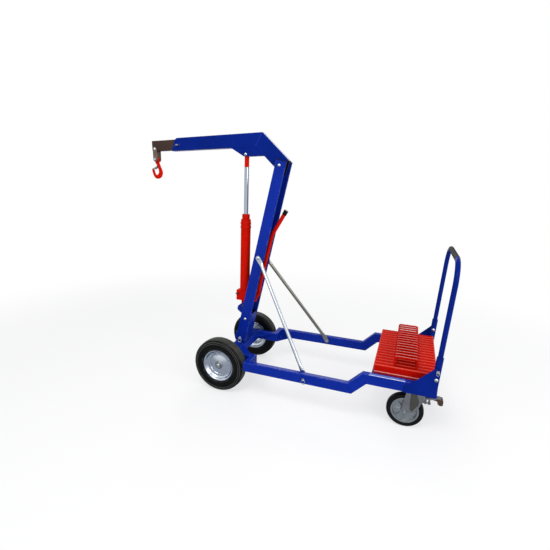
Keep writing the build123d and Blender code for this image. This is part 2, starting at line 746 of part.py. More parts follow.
with BuildPart() as mast_post:
    with BuildSketch(MAST_SECTION.offset(-2 * MAST_WALL)):
        with Locations(((POST_FRONT + MAST_DEPTH) / 2, 0)):
            Rectangle(POST_DEPTH, 2 * POST_HALF)
            Rectangle(POST_DEPTH - 2 * POST_WALL, 2 * (POST_HALF - POST_WALL), mode=Mode.SUBTRACT)
    extrude(amount=POST_TOP + 2 * MAST_WALL)
    with BuildSketch(MAST_SECTION.offset(-2 * MAST_WALL)):
        with Locations(((POST_FRONT + MAST_DEPTH) / 2, 0)):
            Rectangle(POST_DEPTH, 2 * POST_HALF)
            Rectangle(POST_DEPTH - 2 * POST_WALL, 2 * (POST_HALF - POST_WALL), mode=Mode.SUBTRACT)
    extrude(amount=-4 * MAST_WALL)
    with BuildSketch(Plane.XY.offset(RAIL_TOP)):
        with Locations(((BEAM_FRONT + BEAM_REAR) / 2, 0)):
            Rectangle(4 * MAST_DEPTH, 2 * MAST_WIDTH)
    extrude(amount=-MAST_WIDTH, mode=Mode.SUBTRACT)
    with BuildSketch(mast_plane(0)):
        with Locations(MAST_BOLT_AT):
            Circle(MAST_BOLT_RADIUS)
        with Locations(MAST_PIN_AT):
            Circle(LOCK_PIN_RADIUS)
    extrude(amount=MAST_WIDTH, both=True, mode=Mode.SUBTRACT)
mast_post.part.label = "mast_post"
export_step(mast_post.part, "parts/mast_post.step")

with BuildPart() as mast_bolts:
    for at in (spot(mast_plane(0), *MAST_BOLT_AT), Vector(PIVOT_X, 0, PIVOT_Z)):
        shaft(across((at.X, -MAST_HALF, at.Z), 1), MAST_BOLT_RADIUS, MAST_WIDTH)
        dome(across((at.X, -MAST_HALF, at.Z), -1), DOME_RADIUS, DOME_HEIGHT)
        hexagon(across((at.X, MAST_HALF, at.Z), 1), DOME_RADIUS, NUT_HEIGHT)
mast_bolts.part.label = "mast_bolts"
export_step(mast_bolts.part, "parts/mast_bolts.step")

with BuildPart() as mast_lock_pin:
    at = spot(mast_plane(0), *MAST_PIN_AT)
    shaft(across((at.X, -MAST_HALF, at.Z), 1), LOCK_PIN_RADIUS, MAST_WIDTH + NUT_HEIGHT)
    shaft(across((at.X, -MAST_HALF, at.Z), -1), PIN_HEAD_RADIUS, PIN_HEAD_LENGTH)
    hang = (at.X, -MAST_HALF - PIN_HEAD_LENGTH, at.Z - PIN_HEAD_RADIUS / 2)
    pull_ring(hang, -1, PULL_RING_RADIUS)
mast_lock_pin.part.label = "mast_lock_pin"
export_step(mast_lock_pin.part, "parts/mast_lock_pin.step")

# Tie rods

TIE_TOP = spot(mast_plane(0), *MAST_ROD_AT)
TIE_TOP_Y = MAST_HALF
TIE_LOW_Y = RAIL_INNER - TIE_TAB_SHEET
TIE_RUN = Vector(TIE_LOW_X - TIE_TOP.X, 0, RAIL_MIDDLE - TIE_TOP.Z).normalized()

for name, side in SIDES:
    top_tab = side_plane(side * TIE_TOP_Y)
    low_tab = side_plane(side * TIE_LOW_Y)
    top_end = TIE_TOP + TIE_RUN * TIE_TAB_LENGTH
    low_end = Vector(TIE_LOW_X, 0, RAIL_MIDDLE) - TIE_RUN * TIE_TAB_LENGTH
    top_mid = Vector(top_end.X, side * (TIE_TOP_Y + TIE_TAB_SHEET / 2), top_end.Z)
    low_mid = Vector(low_end.X, side * (TIE_LOW_Y + TIE_TAB_SHEET / 2), low_end.Z)
    rod_run = (low_mid - top_mid).normalized()
    rod_length = (low_mid - top_mid).length
    with BuildPart() as tie_rod:
        with BuildSketch(top_tab):
            slot_outline((TIE_TOP.X, TIE_TOP.Z), (top_end.X, top_end.Z), TIE_TAB_WIDTH / 2)
        extrude(amount=-side * TIE_TAB_SHEET)
        with BuildSketch(low_tab):
            slot_outline((TIE_LOW_X, RAIL_MIDDLE), (low_end.X, low_end.Z), TIE_TAB_WIDTH / 2)
        extrude(amount=-side * TIE_TAB_SHEET)
        flat = Plane(origin=top_mid, x_dir=(0, 1, 0), z_dir=TIE_RUN)
        round_top = Plane(origin=top_mid + rod_run * TIE_NECK, x_dir=(0, 1, 0), z_dir=rod_run)
        with BuildSketch(flat):
            RectangleRounded(TIE_TAB_SHEET, TIE_TAB_WIDTH - 2, 2.5)
        with BuildSketch(round_top):
            Circle(TIE_RADIUS)
        loft()
        shaft(round_top, TIE_RADIUS, rod_length - 2 * TIE_NECK)
        round_low = Plane(origin=low_mid - rod_run * TIE_NECK, x_dir=(0, 1, 0), z_dir=rod_run)
        flat_low = Plane(origin=low_mid, x_dir=(0, 1, 0), z_dir=TIE_RUN)
        with BuildSketch(round_low):
            Circle(TIE_RADIUS)
        with BuildSketch(flat_low):
            RectangleRounded(TIE_TAB_SHEET, TIE_TAB_WIDTH - 2, 2.5)
        loft()
        with BuildSketch(side_plane(0)):
            with Locations((TIE_TOP.X, TIE_TOP.Z), (TIE_LOW_X, RAIL_MIDDLE)):
                Circle(TIE_BOLT_RADIUS)
        extrude(amount=-side * 2 * RAIL_OFFSET, mode=Mode.SUBTRACT)
    tie_rod.part.label = f"{name}_tie_rod"
    export_step(tie_rod.part, f"parts/{name}_tie_rod.step")

with BuildPart() as tie_rod_fasteners:
    for name, side in SIDES:
        tab_face = TIE_TOP_Y + TIE_TAB_SHEET
        grip = TIE_TAB_SHEET + MAST_WALL
        shaft(across((TIE_TOP.X, side * MAST_INNER, TIE_TOP.Z), side), TIE_BOLT_RADIUS, grip)
        dome(across((TIE_TOP.X, side * tab_face, TIE_TOP.Z), side), 1.9 * TIE_BOLT_RADIUS, TIE_BOLT_RADIUS)
        hexagon(across((TIE_TOP.X, side * MAST_INNER, TIE_TOP.Z), -side), 1.8 * TIE_BOLT_RADIUS, NUT_HEIGHT)
        reach = RAIL_OUTER - TIE_LOW_Y
        shaft(across((TIE_LOW_X, side * TIE_LOW_Y, RAIL_MIDDLE), side), TIE_BOLT_RADIUS, reach)
        shaft(across((TIE_LOW_X, side * TIE_LOW_Y, RAIL_MIDDLE), -side), PIN_HEAD_RADIUS, PIN_HEAD_LENGTH)
        shaft(across((TIE_LOW_X, side * RAIL_OUTER, RAIL_MIDDLE), side), PIN_HEAD_RADIUS, PIN_HEAD_LENGTH)
        hang = (TIE_LOW_X, side * (RAIL_OUTER + PIN_HEAD_LENGTH), RAIL_MIDDLE - PIN_HEAD_RADIUS / 2)
        pull_ring(hang, side, PULL_RING_RADIUS)
tie_rod_fasteners.part.label = "tie_rod_fasteners"
export_step(tie_rod_fasteners.part, "parts/tie_rod_fasteners.step")

# Boom

BOOM_HALF = BOOM_HEIGHT / 2
BOOM_SIDE = BOOM_WIDTH / 2
SLOPE_RUN = (cos(radians(BOOM_SLOPE)), -sin(radians(BOOM_SLOPE)))
SLOPE_OUT = (sin(radians(BOOM_SLOPE)), cos(radians(BOOM_SLOPE)))
PIVOT_SPOT = boom_plane(0).to_local_coords(Vector(PIVOT_X, 0, PIVOT_Z))
HEAD_SPOT = boom_plane(0).to_local_coords(Vector(RAM_HEAD_X, 0, RAM_HEAD_Z))


def slope_bend(below, height):
    """Point at a height on the line that runs below the sloping top by a distance."""
    top = BOOM_ELBOW * SLOPE_OUT[0] + BOOM_HALF * SLOPE_OUT[1]
    return ((top - below - height * SLOPE_OUT[1]) / SLOPE_OUT[0], height)


def slope_end(below, length):
    """Point down the slope from its top bend, and below its top by a distance."""
    x = BOOM_ELBOW + length * SLOPE_RUN[0] - below * SLOPE_OUT[0]
    return (x, BOOM_HALF + length * SLOPE_RUN[1] - below * SLOPE_OUT[1])


with BuildPart() as boom:
    with BuildSketch(boom_plane(0)):
        low_bend = slope_bend(BOOM_SLOPE_HEIGHT, -BOOM_HALF)
        slant = BOOM_FRONT_SLANT * BOOM_FRONT_CHAMFER / BOOM_HEIGHT
        outline(
            [
                (BOOM_FRONT - BOOM_FRONT_SLANT, -BOOM_HALF),
                low_bend,
                slope_end(BOOM_SLOPE_HEIGHT, BOOM_SLOPE_LENGTH),
                slope_end(0, BOOM_SLOPE_LENGTH),
                slope_bend(0, BOOM_HALF),
                (BOOM_FRONT + BOOM_FRONT_CHAMFER, BOOM_HALF),
                (BOOM_FRONT - slant, BOOM_HALF - BOOM_FRONT_CHAMFER),
            ]
        )
    extrude(amount=BOOM_SIDE, both=True)
    with BuildSketch(boom_plane(0)):
        core = BOOM_HALF - BOOM_WALL
        inside = BOOM_SLOPE_HEIGHT - BOOM_WALL
        outline(
            [
                (BOOM_FRONT - BOOM_HEIGHT, -core),
                slope_bend(inside, -core),
                slope_end(inside, BOOM_SLOPE_LENGTH + BOOM_WALL),
                slope_end(BOOM_WALL, BOOM_SLOPE_LENGTH + BOOM_WALL),
                slope_bend(BOOM_WALL, core),
                (BOOM_FRONT - BOOM_HEIGHT, core),
            ]
        )
    extrude(amount=BOOM_SIDE - BOOM_WALL, both=True, mode=Mode.SUBTRACT)
    for name, side in SIDES:
        with BuildSketch(boom_plane(side * (BOOM_SIDE - BOOM_WALL))):
            drop = GUSSET_DROP - BOOM_HALF
            outline(
                [
                    (GUSSET_FRONT, 1 - BOOM_HALF),
                    (GUSSET_LOW_FRONT, -GUSSET_DROP),
                    (low_bend[0] + drop + 1, -GUSSET_DROP),
                    (low_bend[0] + 1, 1 - BOOM_HALF),
                ]
            )
        extrude(amount=-side * BOOM_WALL)
    with BuildSketch(boom_plane(0)):
        with Locations((PIVOT_SPOT.X, PIVOT_SPOT.Y)):
            Circle(PIVOT_TUBE_RADIUS)
    extrude(amount=MAST_INNER - FACE_GAP, both=True)
    with BuildSketch(boom_plane(0)):
        with Locations((PIVOT_SPOT.X, PIVOT_SPOT.Y)):
            Circle(MAST_BOLT_RADIUS + RUNNING_CLEARANCE)
    extrude(amount=MAST_WIDTH, both=True, mode=Mode.SUBTRACT)
    with BuildSketch(boom_plane(0)):
        with Locations((HEAD_SPOT.X, HEAD_SPOT.Y)):
            Circle(RAM_PIN_RADIUS)
    extrude(amount=MAST_WIDTH, both=True, mode=Mode.SUBTRACT)
    boss = across(spot(boom_plane(-BOOM_SIDE), *CLAMP_SCREW_AT), -1)
    hexagon(boss, 1.9 * CLAMP_SCREW_RADIUS, CLAMP_NUT_LENGTH)
    with BuildSketch(boom_plane(0)):
        with Locations(CLAMP_SCREW_AT):
            Circle(CLAMP_SCREW_RADIUS + RUNNING_CLEARANCE)
    extrude(amount=BOOM_WIDTH, mode=Mode.SUBTRACT)
boom.part.label = "boom"
export_step(boom.part, "parts/boom.step")

EXTENSION_HEIGHT = BOOM_HEIGHT - 2 * BOOM_WALL - SLIDING_CLEARANCE - EXTENSION_PLAY
EXTENSION_AT = (EXTENSION_TIP + EXTENSION_LENGTH / 2, (SLIDING_CLEARANCE - EXTENSION_PLAY) / 2)
EXTENSION_WIDTH = BOOM_WIDTH - 2 * BOOM_WALL - 2 * SLIDING_CLEARANCE
EXTENSION_SIDE = EXTENSION_WIDTH / 2

with BuildPart() as boom_clamp_screw:
    at = spot(boom_plane(0), *CLAMP_SCREW_AT)
    grip = BOOM_SIDE + CLAMP_NUT_LENGTH + CLAMP_HEAD_LENGTH - EXTENSION_SIDE - FACE_GAP
    shaft(across((at.X, -EXTENSION_SIDE - FACE_GAP, at.Z), -1), CLAMP_SCREW_RADIUS, grip)
    with BuildSketch(side_plane(-BOOM_SIDE - CLAMP_NUT_LENGTH - 4, at.X, at.Z)):
        SlotOverall(5 * CLAMP_SCREW_RADIUS, 2 * CLAMP_SCREW_RADIUS)
    extrude(amount=CLAMP_HEAD_LENGTH - 4)
boom_clamp_screw.part.label = "boom_clamp_screw"
export_step(boom_clamp_screw.part, "parts/boom_clamp_screw.step")

with BuildPart() as ram_head_bolt:
    for name, side in SIDES:
        inner = side * (BOOM_SIDE - BOOM_WALL)
        shaft(across((RAM_HEAD_X, inner, RAM_HEAD_Z), side), RAM_PIN_RADIUS, BOOM_WALL)
    dome(across((RAM_HEAD_X, -BOOM_SIDE, RAM_HEAD_Z), -1), DOME_RADIUS, DOME_HEIGHT)
    hexagon(across((RAM_HEAD_X, BOOM_SIDE, RAM_HEAD_Z), 1), DOME_RADIUS, NUT_HEIGHT)
ram_head_bolt.part.label = "ram_head_bolt"
export_step(ram_head_bolt.part, "parts/ram_head_bolt.step")

# Extension, link and hook

LINK_TOP = spot(boom_plane(0), *LINK_AT)
EYE_X = LINK_TOP.X
HOOK_EYE_Z = LINK_TOP.Z - LINK_LENGTH
PLATE_INNER = EXTENSION_SIDE + FACE_GAP
PLATE_OUTER = PLATE_INNER + LINK_THICKNESS

with BuildPart() as boom_extension:
    with BuildSketch(boom_plane(0)):
        with Locations(EXTENSION_AT):
            Rectangle(EXTENSION_LENGTH, EXTENSION_HEIGHT)
    extrude(amount=EXTENSION_SIDE, both=True)
    with BuildSketch(boom_plane(0)):
        with Locations(EXTENSION_AT):
            Rectangle(2 * EXTENSION_LENGTH, EXTENSION_HEIGHT - 2 * EXTENSION_WALL)
    extrude(amount=EXTENSION_SIDE - EXTENSION_WALL, both=True, mode=Mode.SUBTRACT)
    with BuildSketch(boom_plane(0)):
        with Locations(LINK_AT):
            Circle(LINK_BOLT_RADIUS)
    extrude(amount=BOOM_WIDTH, both=True, mode=Mode.SUBTRACT)
boom_extension.part.label = "boom_extension"
export_step(boom_extension.part, "parts/boom_extension.step")

with BuildPart() as link_top_bolt:
    seat = PLATE_OUTER + FACE_GAP
    shaft(across((EYE_X, -seat, LINK_TOP.Z), 1), LINK_BOLT_RADIUS, 2 * seat)
    dome(across((EYE_X, -seat, LINK_TOP.Z), -1), 2 * LINK_BOLT_RADIUS, DOME_HEIGHT)
    hexagon(across((EYE_X, seat, LINK_TOP.Z), 1), 1.8 * LINK_BOLT_RADIUS, NUT_HEIGHT)
link_top_bolt.part.label = "link_top_bolt"
export_step(link_top_bolt.part, "parts/link_top_bolt.step")

with BuildPart() as link_plates:
    for name, side in SIDES:
        with BuildSketch(side_plane(side * PLATE_INNER)):
            slot_outline((EYE_X, HOOK_EYE_Z), (EYE_X, LINK_TOP.Z), LINK_WIDTH / 2)
            with Locations((EYE_X, HOOK_EYE_Z)):
                Circle(LINK_BOLT_RADIUS, mode=Mode.SUBTRACT)
            with Locations((EYE_X, LINK_TOP.Z)):
                Circle(LINK_BOLT_RADIUS + RUNNING_CLEARANCE, mode=Mode.SUBTRACT)
        extrude(amount=-side * LINK_THICKNESS)
link_plates.part.label = "link_plates"
export_step(link_plates.part, "parts/link_plates.step")

with BuildPart() as link_bottom_bolt:
    shaft(across((EYE_X, -PLATE_OUTER, HOOK_EYE_Z), 1), LINK_BOLT_RADIUS, 2 * PLATE_OUTER)
    hexagon(across((EYE_X, -PLATE_OUTER, HOOK_EYE_Z), -1), 1.8 * LINK_BOLT_RADIUS, LINK_BOLT_RADIUS)
    hexagon(across((EYE_X, PLATE_OUTER, HOOK_EYE_Z), 1), 1.8 * LINK_BOLT_RADIUS, LINK_BOLT_RADIUS)
link_bottom_bolt.part.label = "link_bottom_bolt"
export_step(link_bottom_bolt.part, "parts/link_bottom_bolt.step")

BOWL_LEFT = (HOOK_BOWL_AT[0] - HOOK_BOWL_RADIUS, HOOK_BOWL_AT[1])
BOWL_RIGHT = (HOOK_BOWL_AT[0] + HOOK_BOWL_RADIUS, HOOK_BOWL_AT[1])
BOWL_LOW = (HOOK_BOWL_AT[0], HOOK_BOWL_AT[1] - HOOK_BOWL_RADIUS)
HOOK_TIP_OUT = (-51.0, -71.0)
HOOK_TIP_IN = (-42.0, -67.0)
NECK_LEFT = (-13.0, -10.0)
NECK_RIGHT = (13.0, -10.0)
HOOK_HALF = HOOK_THICKNESS / 2

with BuildPart() as hook:
    with BuildSketch(side_plane(0, EYE_X, HOOK_EYE_Z)):
        with BuildLine():
            Spline(
                NECK_RIGHT,
                (19.0, -33.0),
                (31.0, -61.0),
                (43.0, -96.0),
                (37.0, -126.0),
                (17.0, -145.0),
                (-7.0, -150.0),
                (-29.0, -136.0),
                (-45.0, -105.0),
                HOOK_TIP_OUT,
            )
            Line(HOOK_TIP_OUT, HOOK_TIP_IN)
            Line(HOOK_TIP_IN, BOWL_LEFT)
            ThreePointArc(BOWL_LEFT, BOWL_LOW, BOWL_RIGHT)
            Spline(BOWL_RIGHT, (13.0, -71.0), (1.0, -46.0), (-11.0, -26.0), NECK_LEFT)
            Line(NECK_LEFT, NECK_RIGHT)
        make_face()
        Circle(HOOK_EYE_RADIUS)
        Circle(LINK_BOLT_RADIUS + RUNNING_CLEARANCE, mode=Mode.SUBTRACT)
        with Locations(LATCH_AT):
            Circle(LATCH_PIN_RADIUS + RUNNING_CLEARANCE, mode=Mode.SUBTRACT)
    extrude(amount=HOOK_HALF, both=True)
hook.part.label = "hook"
export_step(hook.part, "parts/hook.step")

CHEEK_INNER = HOOK_HALF + FACE_GAP
CHEEK_OUTER = CHEEK_INNER + LATCH_SHEET
LATCH_RUN = hypot(LATCH_END[0] - LATCH_AT[0], LATCH_END[1] - LATCH_AT[1])
LATCH_TURN = degrees(atan2(LATCH_AT[1] - LATCH_END[1], LATCH_AT[0] - LATCH_END[0]))
COIL_RUN = SPRING_PITCH * SPRING_TURNS
COIL_START = CHEEK_OUTER + SPRING_WIRE + FACE_GAP

with BuildPart() as hook_latch:
    for name, side in SIDES:
        with BuildSketch(side_plane(side * CHEEK_INNER, EYE_X, HOOK_EYE_Z)):
            slot_outline(LATCH_AT, LATCH_END, LATCH_HALF_HEIGHT)
        extrude(amount=-side * LATCH_SHEET)
    latch_spot = spot(side_plane(0, EYE_X, HOOK_EYE_Z), *LATCH_AT)
    with BuildSketch(side_plane(0, latch_spot.X, latch_spot.Z, -LATCH_TURN)):
        with Locations((-(LATCH_BRIDGE_START + LATCH_RUN) / 2, LATCH_HALF_HEIGHT - LATCH_SHEET / 2)):
            Rectangle(LATCH_RUN - LATCH_BRIDGE_START, LATCH_SHEET)
    extrude(amount=CHEEK_OUTER, both=True)
    stem = CHEEK_OUTER + COIL_RUN + 3 * SPRING_WIRE + 2 * FACE_GAP
    shaft(across((latch_spot.X, CHEEK_OUTER, latch_spot.Z), -1), LATCH_PIN_RADIUS, CHEEK_OUTER + stem)
hook_latch.part.label = "hook_latch"
export_step(hook_latch.part, "parts/hook_latch.step")

with BuildPart() as latch_spring:
    with BuildLine() as coil:
        Helix(
            SPRING_PITCH,
            COIL_RUN,
            SPRING_RADIUS,
            center=(latch_spot.X, -COIL_START, latch_spot.Z),
            direction=(0, -1, 0),
        )
    with BuildSketch(Plane(origin=coil.line @ 0, z_dir=coil.line % 0)):
        Circle(SPRING_WIRE)
    sweep(path=coil.line, is_frenet=True)
latch_spring.part.label = "latch_spring"
export_step(latch_spring.part, "parts/latch_spring.step")

# Ram and pump

RAM_AXIS = Axis(spot(ram_plane(0), 0, 0), ram_plane(0).y_dir)
EYE_HALF = RAM_EYE_WIDTH / 2

with BuildPart() as ram_barrel:
    with BuildSketch(ram_plane(0)):
        second = COLLAR_BOTTOM + COLLAR_PITCH
        outline(
            [
                (BARREL_BORE, BARREL_BOTTOM),
                (BARREL_RADIUS, BARREL_BOTTOM),
                (BARREL_RADIUS, COLLAR_BOTTOM),
                (COLLAR_RADIUS, COLLAR_BOTTOM),
                (COLLAR_RADIUS, COLLAR_BOTTOM + COLLAR_HEIGHT),
                (BARREL_RADIUS, COLLAR_BOTTOM + COLLAR_HEIGHT),
                (BARREL_RADIUS, second),
                (COLLAR_RADIUS, second),
                (COLLAR_RADIUS, second + COLLAR_HEIGHT),
                (BARREL_RADIUS, second + COLLAR_HEIGHT),
                (BARREL_RADIUS, BARREL_TOP),
                (BARREL_BORE, BARREL_TOP),
            ]
        )
    revolve(axis=RAM_AXIS)
ram_barrel.part.label = "ram_barrel"
export_step(ram_barrel.part, "parts/ram_barrel.step")

with BuildPart() as ram_gland:
    with BuildSketch(ram_plane(0)):
        bore = ROD_RADIUS + RUNNING_CLEARANCE
        outline(
            [
                (bore, BARREL_TOP - GLAND_RADIUS),
                (BARREL_BORE, BARREL_TOP - GLAND_RADIUS),
                (BARREL_BORE, BARREL_TOP),
                (GLAND_RADIUS, BARREL_TOP),
                (GLAND_RADIUS, GLAND_TOP - 4),
                (GLAND_RADIUS - 4, GLAND_TOP),
                (bore, GLAND_TOP),
            ]
        )
    revolve(axis=RAM_AXIS)
ram_gland.part.label = "ram_gland"
export_step(ram_gland.part, "parts/ram_gland.step")

with BuildPart() as ram_rod:
    with BuildSketch(ram_plane(0)):
        piston = BARREL_BORE - RUNNING_CLEARANCE
        outline(
            [
                (0, PISTON_BOTTOM),
                (piston, PISTON_BOTTOM),
                (piston, PISTON_BOTTOM + PISTON_HEIGHT),
                (ROD_RADIUS, PISTON_BOTTOM + PISTON_HEIGHT),
                (ROD_RADIUS, ROD_TOP),
                (0, ROD_TOP),
            ]
        )
    revolve(axis=RAM_AXIS)
ram_rod.part.label = "ram_rod"
export_step(ram_rod.part, "parts/ram_rod.step")

with BuildPart() as ram_rod_end:
    with BuildSketch(ram_plane(0)):
        outline([(0, ROD_TOP), (ROD_END_RADIUS, ROD_TOP), (ROD_END_RADIUS, RAM_SPAN), (0, RAM_SPAN)])
    revolve(axis=RAM_AXIS)
    with BuildSketch(ram_plane(0)):
        with Locations((0, RAM_SPAN)):
            Circle(RAM_EYE_RADIUS)
    extrude(amount=ROD_EYE_WIDTH / 2, both=True)
ram_rod_end.part.label = "ram_rod_end"
export_step(ram_rod_end.part, "parts/ram_rod_end.step")

with BuildPart() as ram_foot_pin:
    shaft(across((RAM_FOOT_X, -LUG_OUTER, RAM_FOOT_Z), 1), RAM_PIN_RADIUS, 2 * LUG_OUTER)
    for name, side in SIDES:
        head = across((RAM_FOOT_X, side * LUG_OUTER, RAM_FOOT_Z), side)
        shaft(head, 1.25 * RAM_PIN_RADIUS, RAM_PIN_RADIUS / 2)
ram_foot_pin.part.label = "ram_foot_pin"
export_step(ram_foot_pin.part, "parts/ram_foot_pin.step")

EAR_INNER = LEVER_CHEEK_INNER + LEVER_CHEEK + FACE_GAP
PUMP_PLANE = Plane(origin=spot(ram_plane(0), 0, 0), x_dir=ram_plane(0).x_dir, z_dir=ram_plane(0).y_dir)

with BuildPart() as pump_block:
    with BuildSketch(ram_plane(0)):
        with Locations(((BLOCK_FRONT + BLOCK_REAR) / 2, (BLOCK_BOTTOM + BARREL_BOTTOM) / 2)):
            Rectangle(BLOCK_REAR - BLOCK_FRONT, BARREL_BOTTOM - BLOCK_BOTTOM)
    extrude(amount=BLOCK_HALF_WIDTH, both=True)
    with BuildSketch(ram_plane(0)):
        slot_outline((0, 0), (0, BLOCK_BOTTOM + RAM_EYE_RADIUS), RAM_EYE_RADIUS)
    extrude(amount=EYE_HALF, both=True)
    with BuildSketch(PUMP_PLANE.offset(PUMP_BOTTOM)):
        with Locations((PUMP_AT, 0)):
            Circle(PUMP_RADIUS)
    extrude(amount=PUMP_TOP - PUMP_BOTTOM)
    for name, side in SIDES:
        with BuildSketch(ram_plane(side * EAR_INNER)):
            slot_outline(EAR_FOOT, LEVER_AT, LEVER_EYE_RADIUS)
            slot_outline((BLOCK_REAR - LEVER_EYE_RADIUS, EAR_FOOT[1]), EAR_FOOT, LEVER_EYE_RADIUS)
        extrude(amount=-side * EAR_THICKNESS)
    with BuildSketch(ram_plane(0)):
        with Locations(LEVER_AT):
            Circle(LEVER_PIN_RADIUS)
    extrude(amount=EAR_INNER + EAR_THICKNESS, both=True)
    with BuildSketch(PUMP_PLANE.offset(PLUNGER_BOTTOM - LEVER_CHEEK)):
        with Locations((PLUNGER_AT, 0)):
            Circle(PLUNGER_RADIUS + RUNNING_CLEARANCE)
    extrude(amount=PUMP_TOP, mode=Mode.SUBTRACT)
    with BuildSketch(ram_plane(0)):
        Circle(RAM_PIN_RADIUS + RUNNING_CLEARANCE)
    extrude(amount=RAM_EYE_WIDTH, both=True, mode=Mode.SUBTRACT)
    with BuildSketch(ram_plane(-BLOCK_HALF_WIDTH)):
        with Locations(VALVE_AT):
            Circle(VALVE_STEM_RADIUS + RUNNING_CLEARANCE)
    extrude(amount=-VALVE_STEM_LENGTH - VALVE_STEM_RADIUS, mode=Mode.SUBTRACT)
pump_block.part.label = "pump_block"
export_step(pump_block.part, "parts/pump_block.step")

with BuildPart() as pump_plunger:
    at = spot(ram_plane(0), PLUNGER_AT, PLUNGER_BOTTOM)
    foot = Plane(origin=at, x_dir=PUMP_PLANE.x_dir, z_dir=PUMP_PLANE.z_dir)
    shaft(foot, PLUNGER_RADIUS, PLUNGER_TOP - PLUNGER_BOTTOM)
    head = foot.offset(PLUNGER_TOP - PLUNGER_BOTTOM - PLUNGER_HEAD_HEIGHT)
    shaft(head, PLUNGER_HEAD_RADIUS, PLUNGER_HEAD_HEIGHT)
pump_plunger.part.label = "pump_plunger"
export_step(pump_plunger.part, "parts/pump_plunger.step")

with BuildPart() as release_valve:
    at = spot(ram_plane(-BLOCK_HALF_WIDTH - FACE_GAP), *VALVE_AT)
    shaft(across(at, -1), VALVE_RADIUS, VALVE_LENGTH)
    shaft(across(at, 1), VALVE_STEM_RADIUS, VALVE_STEM_LENGTH)
    with BuildSketch(side_plane(at.Y - VALVE_LENGTH / 2, at.X, at.Z)):
        SlotOverall(VALVE_BAR, VALVE_BAR_WIDTH)
    extrude(amount=VALVE_LENGTH / 2)
release_valve.part.label = "release_valve"
export_step(release_valve.part, "parts/release_valve.step")

GRIP_FROM = LEVER_PATH[-2]
GRIP_TO = LEVER_PATH[-1]
GRIP_RUN = hypot(GRIP_TO[0] - GRIP_FROM[0], GRIP_TO[1] - GRIP_FROM[1])
GRIP_STEP = ((GRIP_TO[0] - GRIP_FROM[0]) / GRIP_RUN, (GRIP_TO[1] - GRIP_FROM[1]) / GRIP_RUN)

with BuildPart() as pump_lever:
    for name, side in SIDES:
        with BuildSketch(ram_plane(side * LEVER_CHEEK_INNER)):
            slot_outline((PLUNGER_AT, LEVER_AT[1]), LEVER_AT, LEVER_EYE_RADIUS - 2)
            slot_outline(LEVER_AT, (LEVER_PATH[0][0], LEVER_SOCKET_TOP - LEVER_EYE_RADIUS), LEVER_EYE_RADIUS)
        extrude(amount=-side * LEVER_CHEEK)
    with BuildSketch(ram_plane(0)):
        with Locations((LEVER_PATH[0][0], (LEVER_PATH[0][1] + LEVER_SOCKET_TOP) / 2)):
            Rectangle(2 * LEVER_EYE_RADIUS, LEVER_SOCKET_TOP - LEVER_PATH[0][1])
    extrude(amount=LEVER_CHEEK_INNER + LEVER_CHEEK, both=True)
    with BuildSketch(ram_plane(0)):
        with Locations(LEVER_AT):
            Circle(LEVER_PIN_RADIUS + RUNNING_CLEARANCE)
    extrude(amount=RAM_EYE_WIDTH, both=True, mode=Mode.SUBTRACT)
    with BuildLine(ram_plane(0)) as run:
        FilletPolyline(*LEVER_PATH, radius=LEVER_BEND_RADIUS)
    with BuildSketch(Plane(origin=run.line @ 0, z_dir=run.line % 0)):
        Circle(LEVER_RADIUS)
    sweep(path=run.line)
pump_lever.part.label = "pump_lever"
export_step(pump_lever.part, "parts/pump_lever.step")

with BuildPart() as lever_grip:
    start = spot(
        ram_plane(0),
        GRIP_TO[0] - GRIP_STEP[0] * LEVER_GRIP_LENGTH,
        GRIP_TO[1] - GRIP_STEP[1] * LEVER_GRIP_LENGTH,
    )
    along = spot(ram_plane(0), *GRIP_TO) - start
    grip_plane = Plane(origin=start, x_dir=(0, 1, 0), z_dir=along)
    shaft(grip_plane, LEVER_RADIUS + LEVER_GRIP_WALL, LEVER_GRIP_LENGTH + LEVER_GRIP_WALL)
    with BuildSketch(grip_plane):
        Circle(LEVER_RADIUS)
    extrude(amount=LEVER_GRIP_LENGTH, mode=Mode.SUBTRACT)
lever_grip.part.label = "lever_grip"
export_step(lever_grip.part, "parts/lever_grip.step")

# Counterweights and tray

TRAY_TOP = DECK_Z + TRAY_SHEET
TRAY_REAR = WEIGHT_REAR + 2
WEIGHT_TOP = TRAY_TOP + WEIGHT_HEIGHT
LOOP_TOP = WEIGHT_TOP + LOOP_RISE

with BuildPart() as counterweight_tray:
    with BuildSketch(Plane.XY.offset(DECK_Z)):
        with Locations(((TRAY_FRONT + TRAY_REAR) / 2, 0)):
            Rectangle(TRAY_REAR - TRAY_FRONT, 2 * RAIL_INNER)
    extrude(amount=TRAY_SHEET)
    with BuildSketch(Plane.XY.offset(DECK_Z)):
        with Locations((TRAY_FRONT + TRAY_SHEET / 2, 0)):
            Rectangle(TRAY_SHEET, 2 * RAIL_INNER)
        with Locations((TRAY_REAR + TRAY_SHEET / 2, 0)):
            Rectangle(TRAY_SHEET, 2 * RAIL_INNER)
    extrude(amount=TRAY_SHEET + TRAY_LIP)
counterweight_tray.part.label = "counterweight_tray"
export_step(counterweight_tray.part, "parts/counterweight_tray.step")

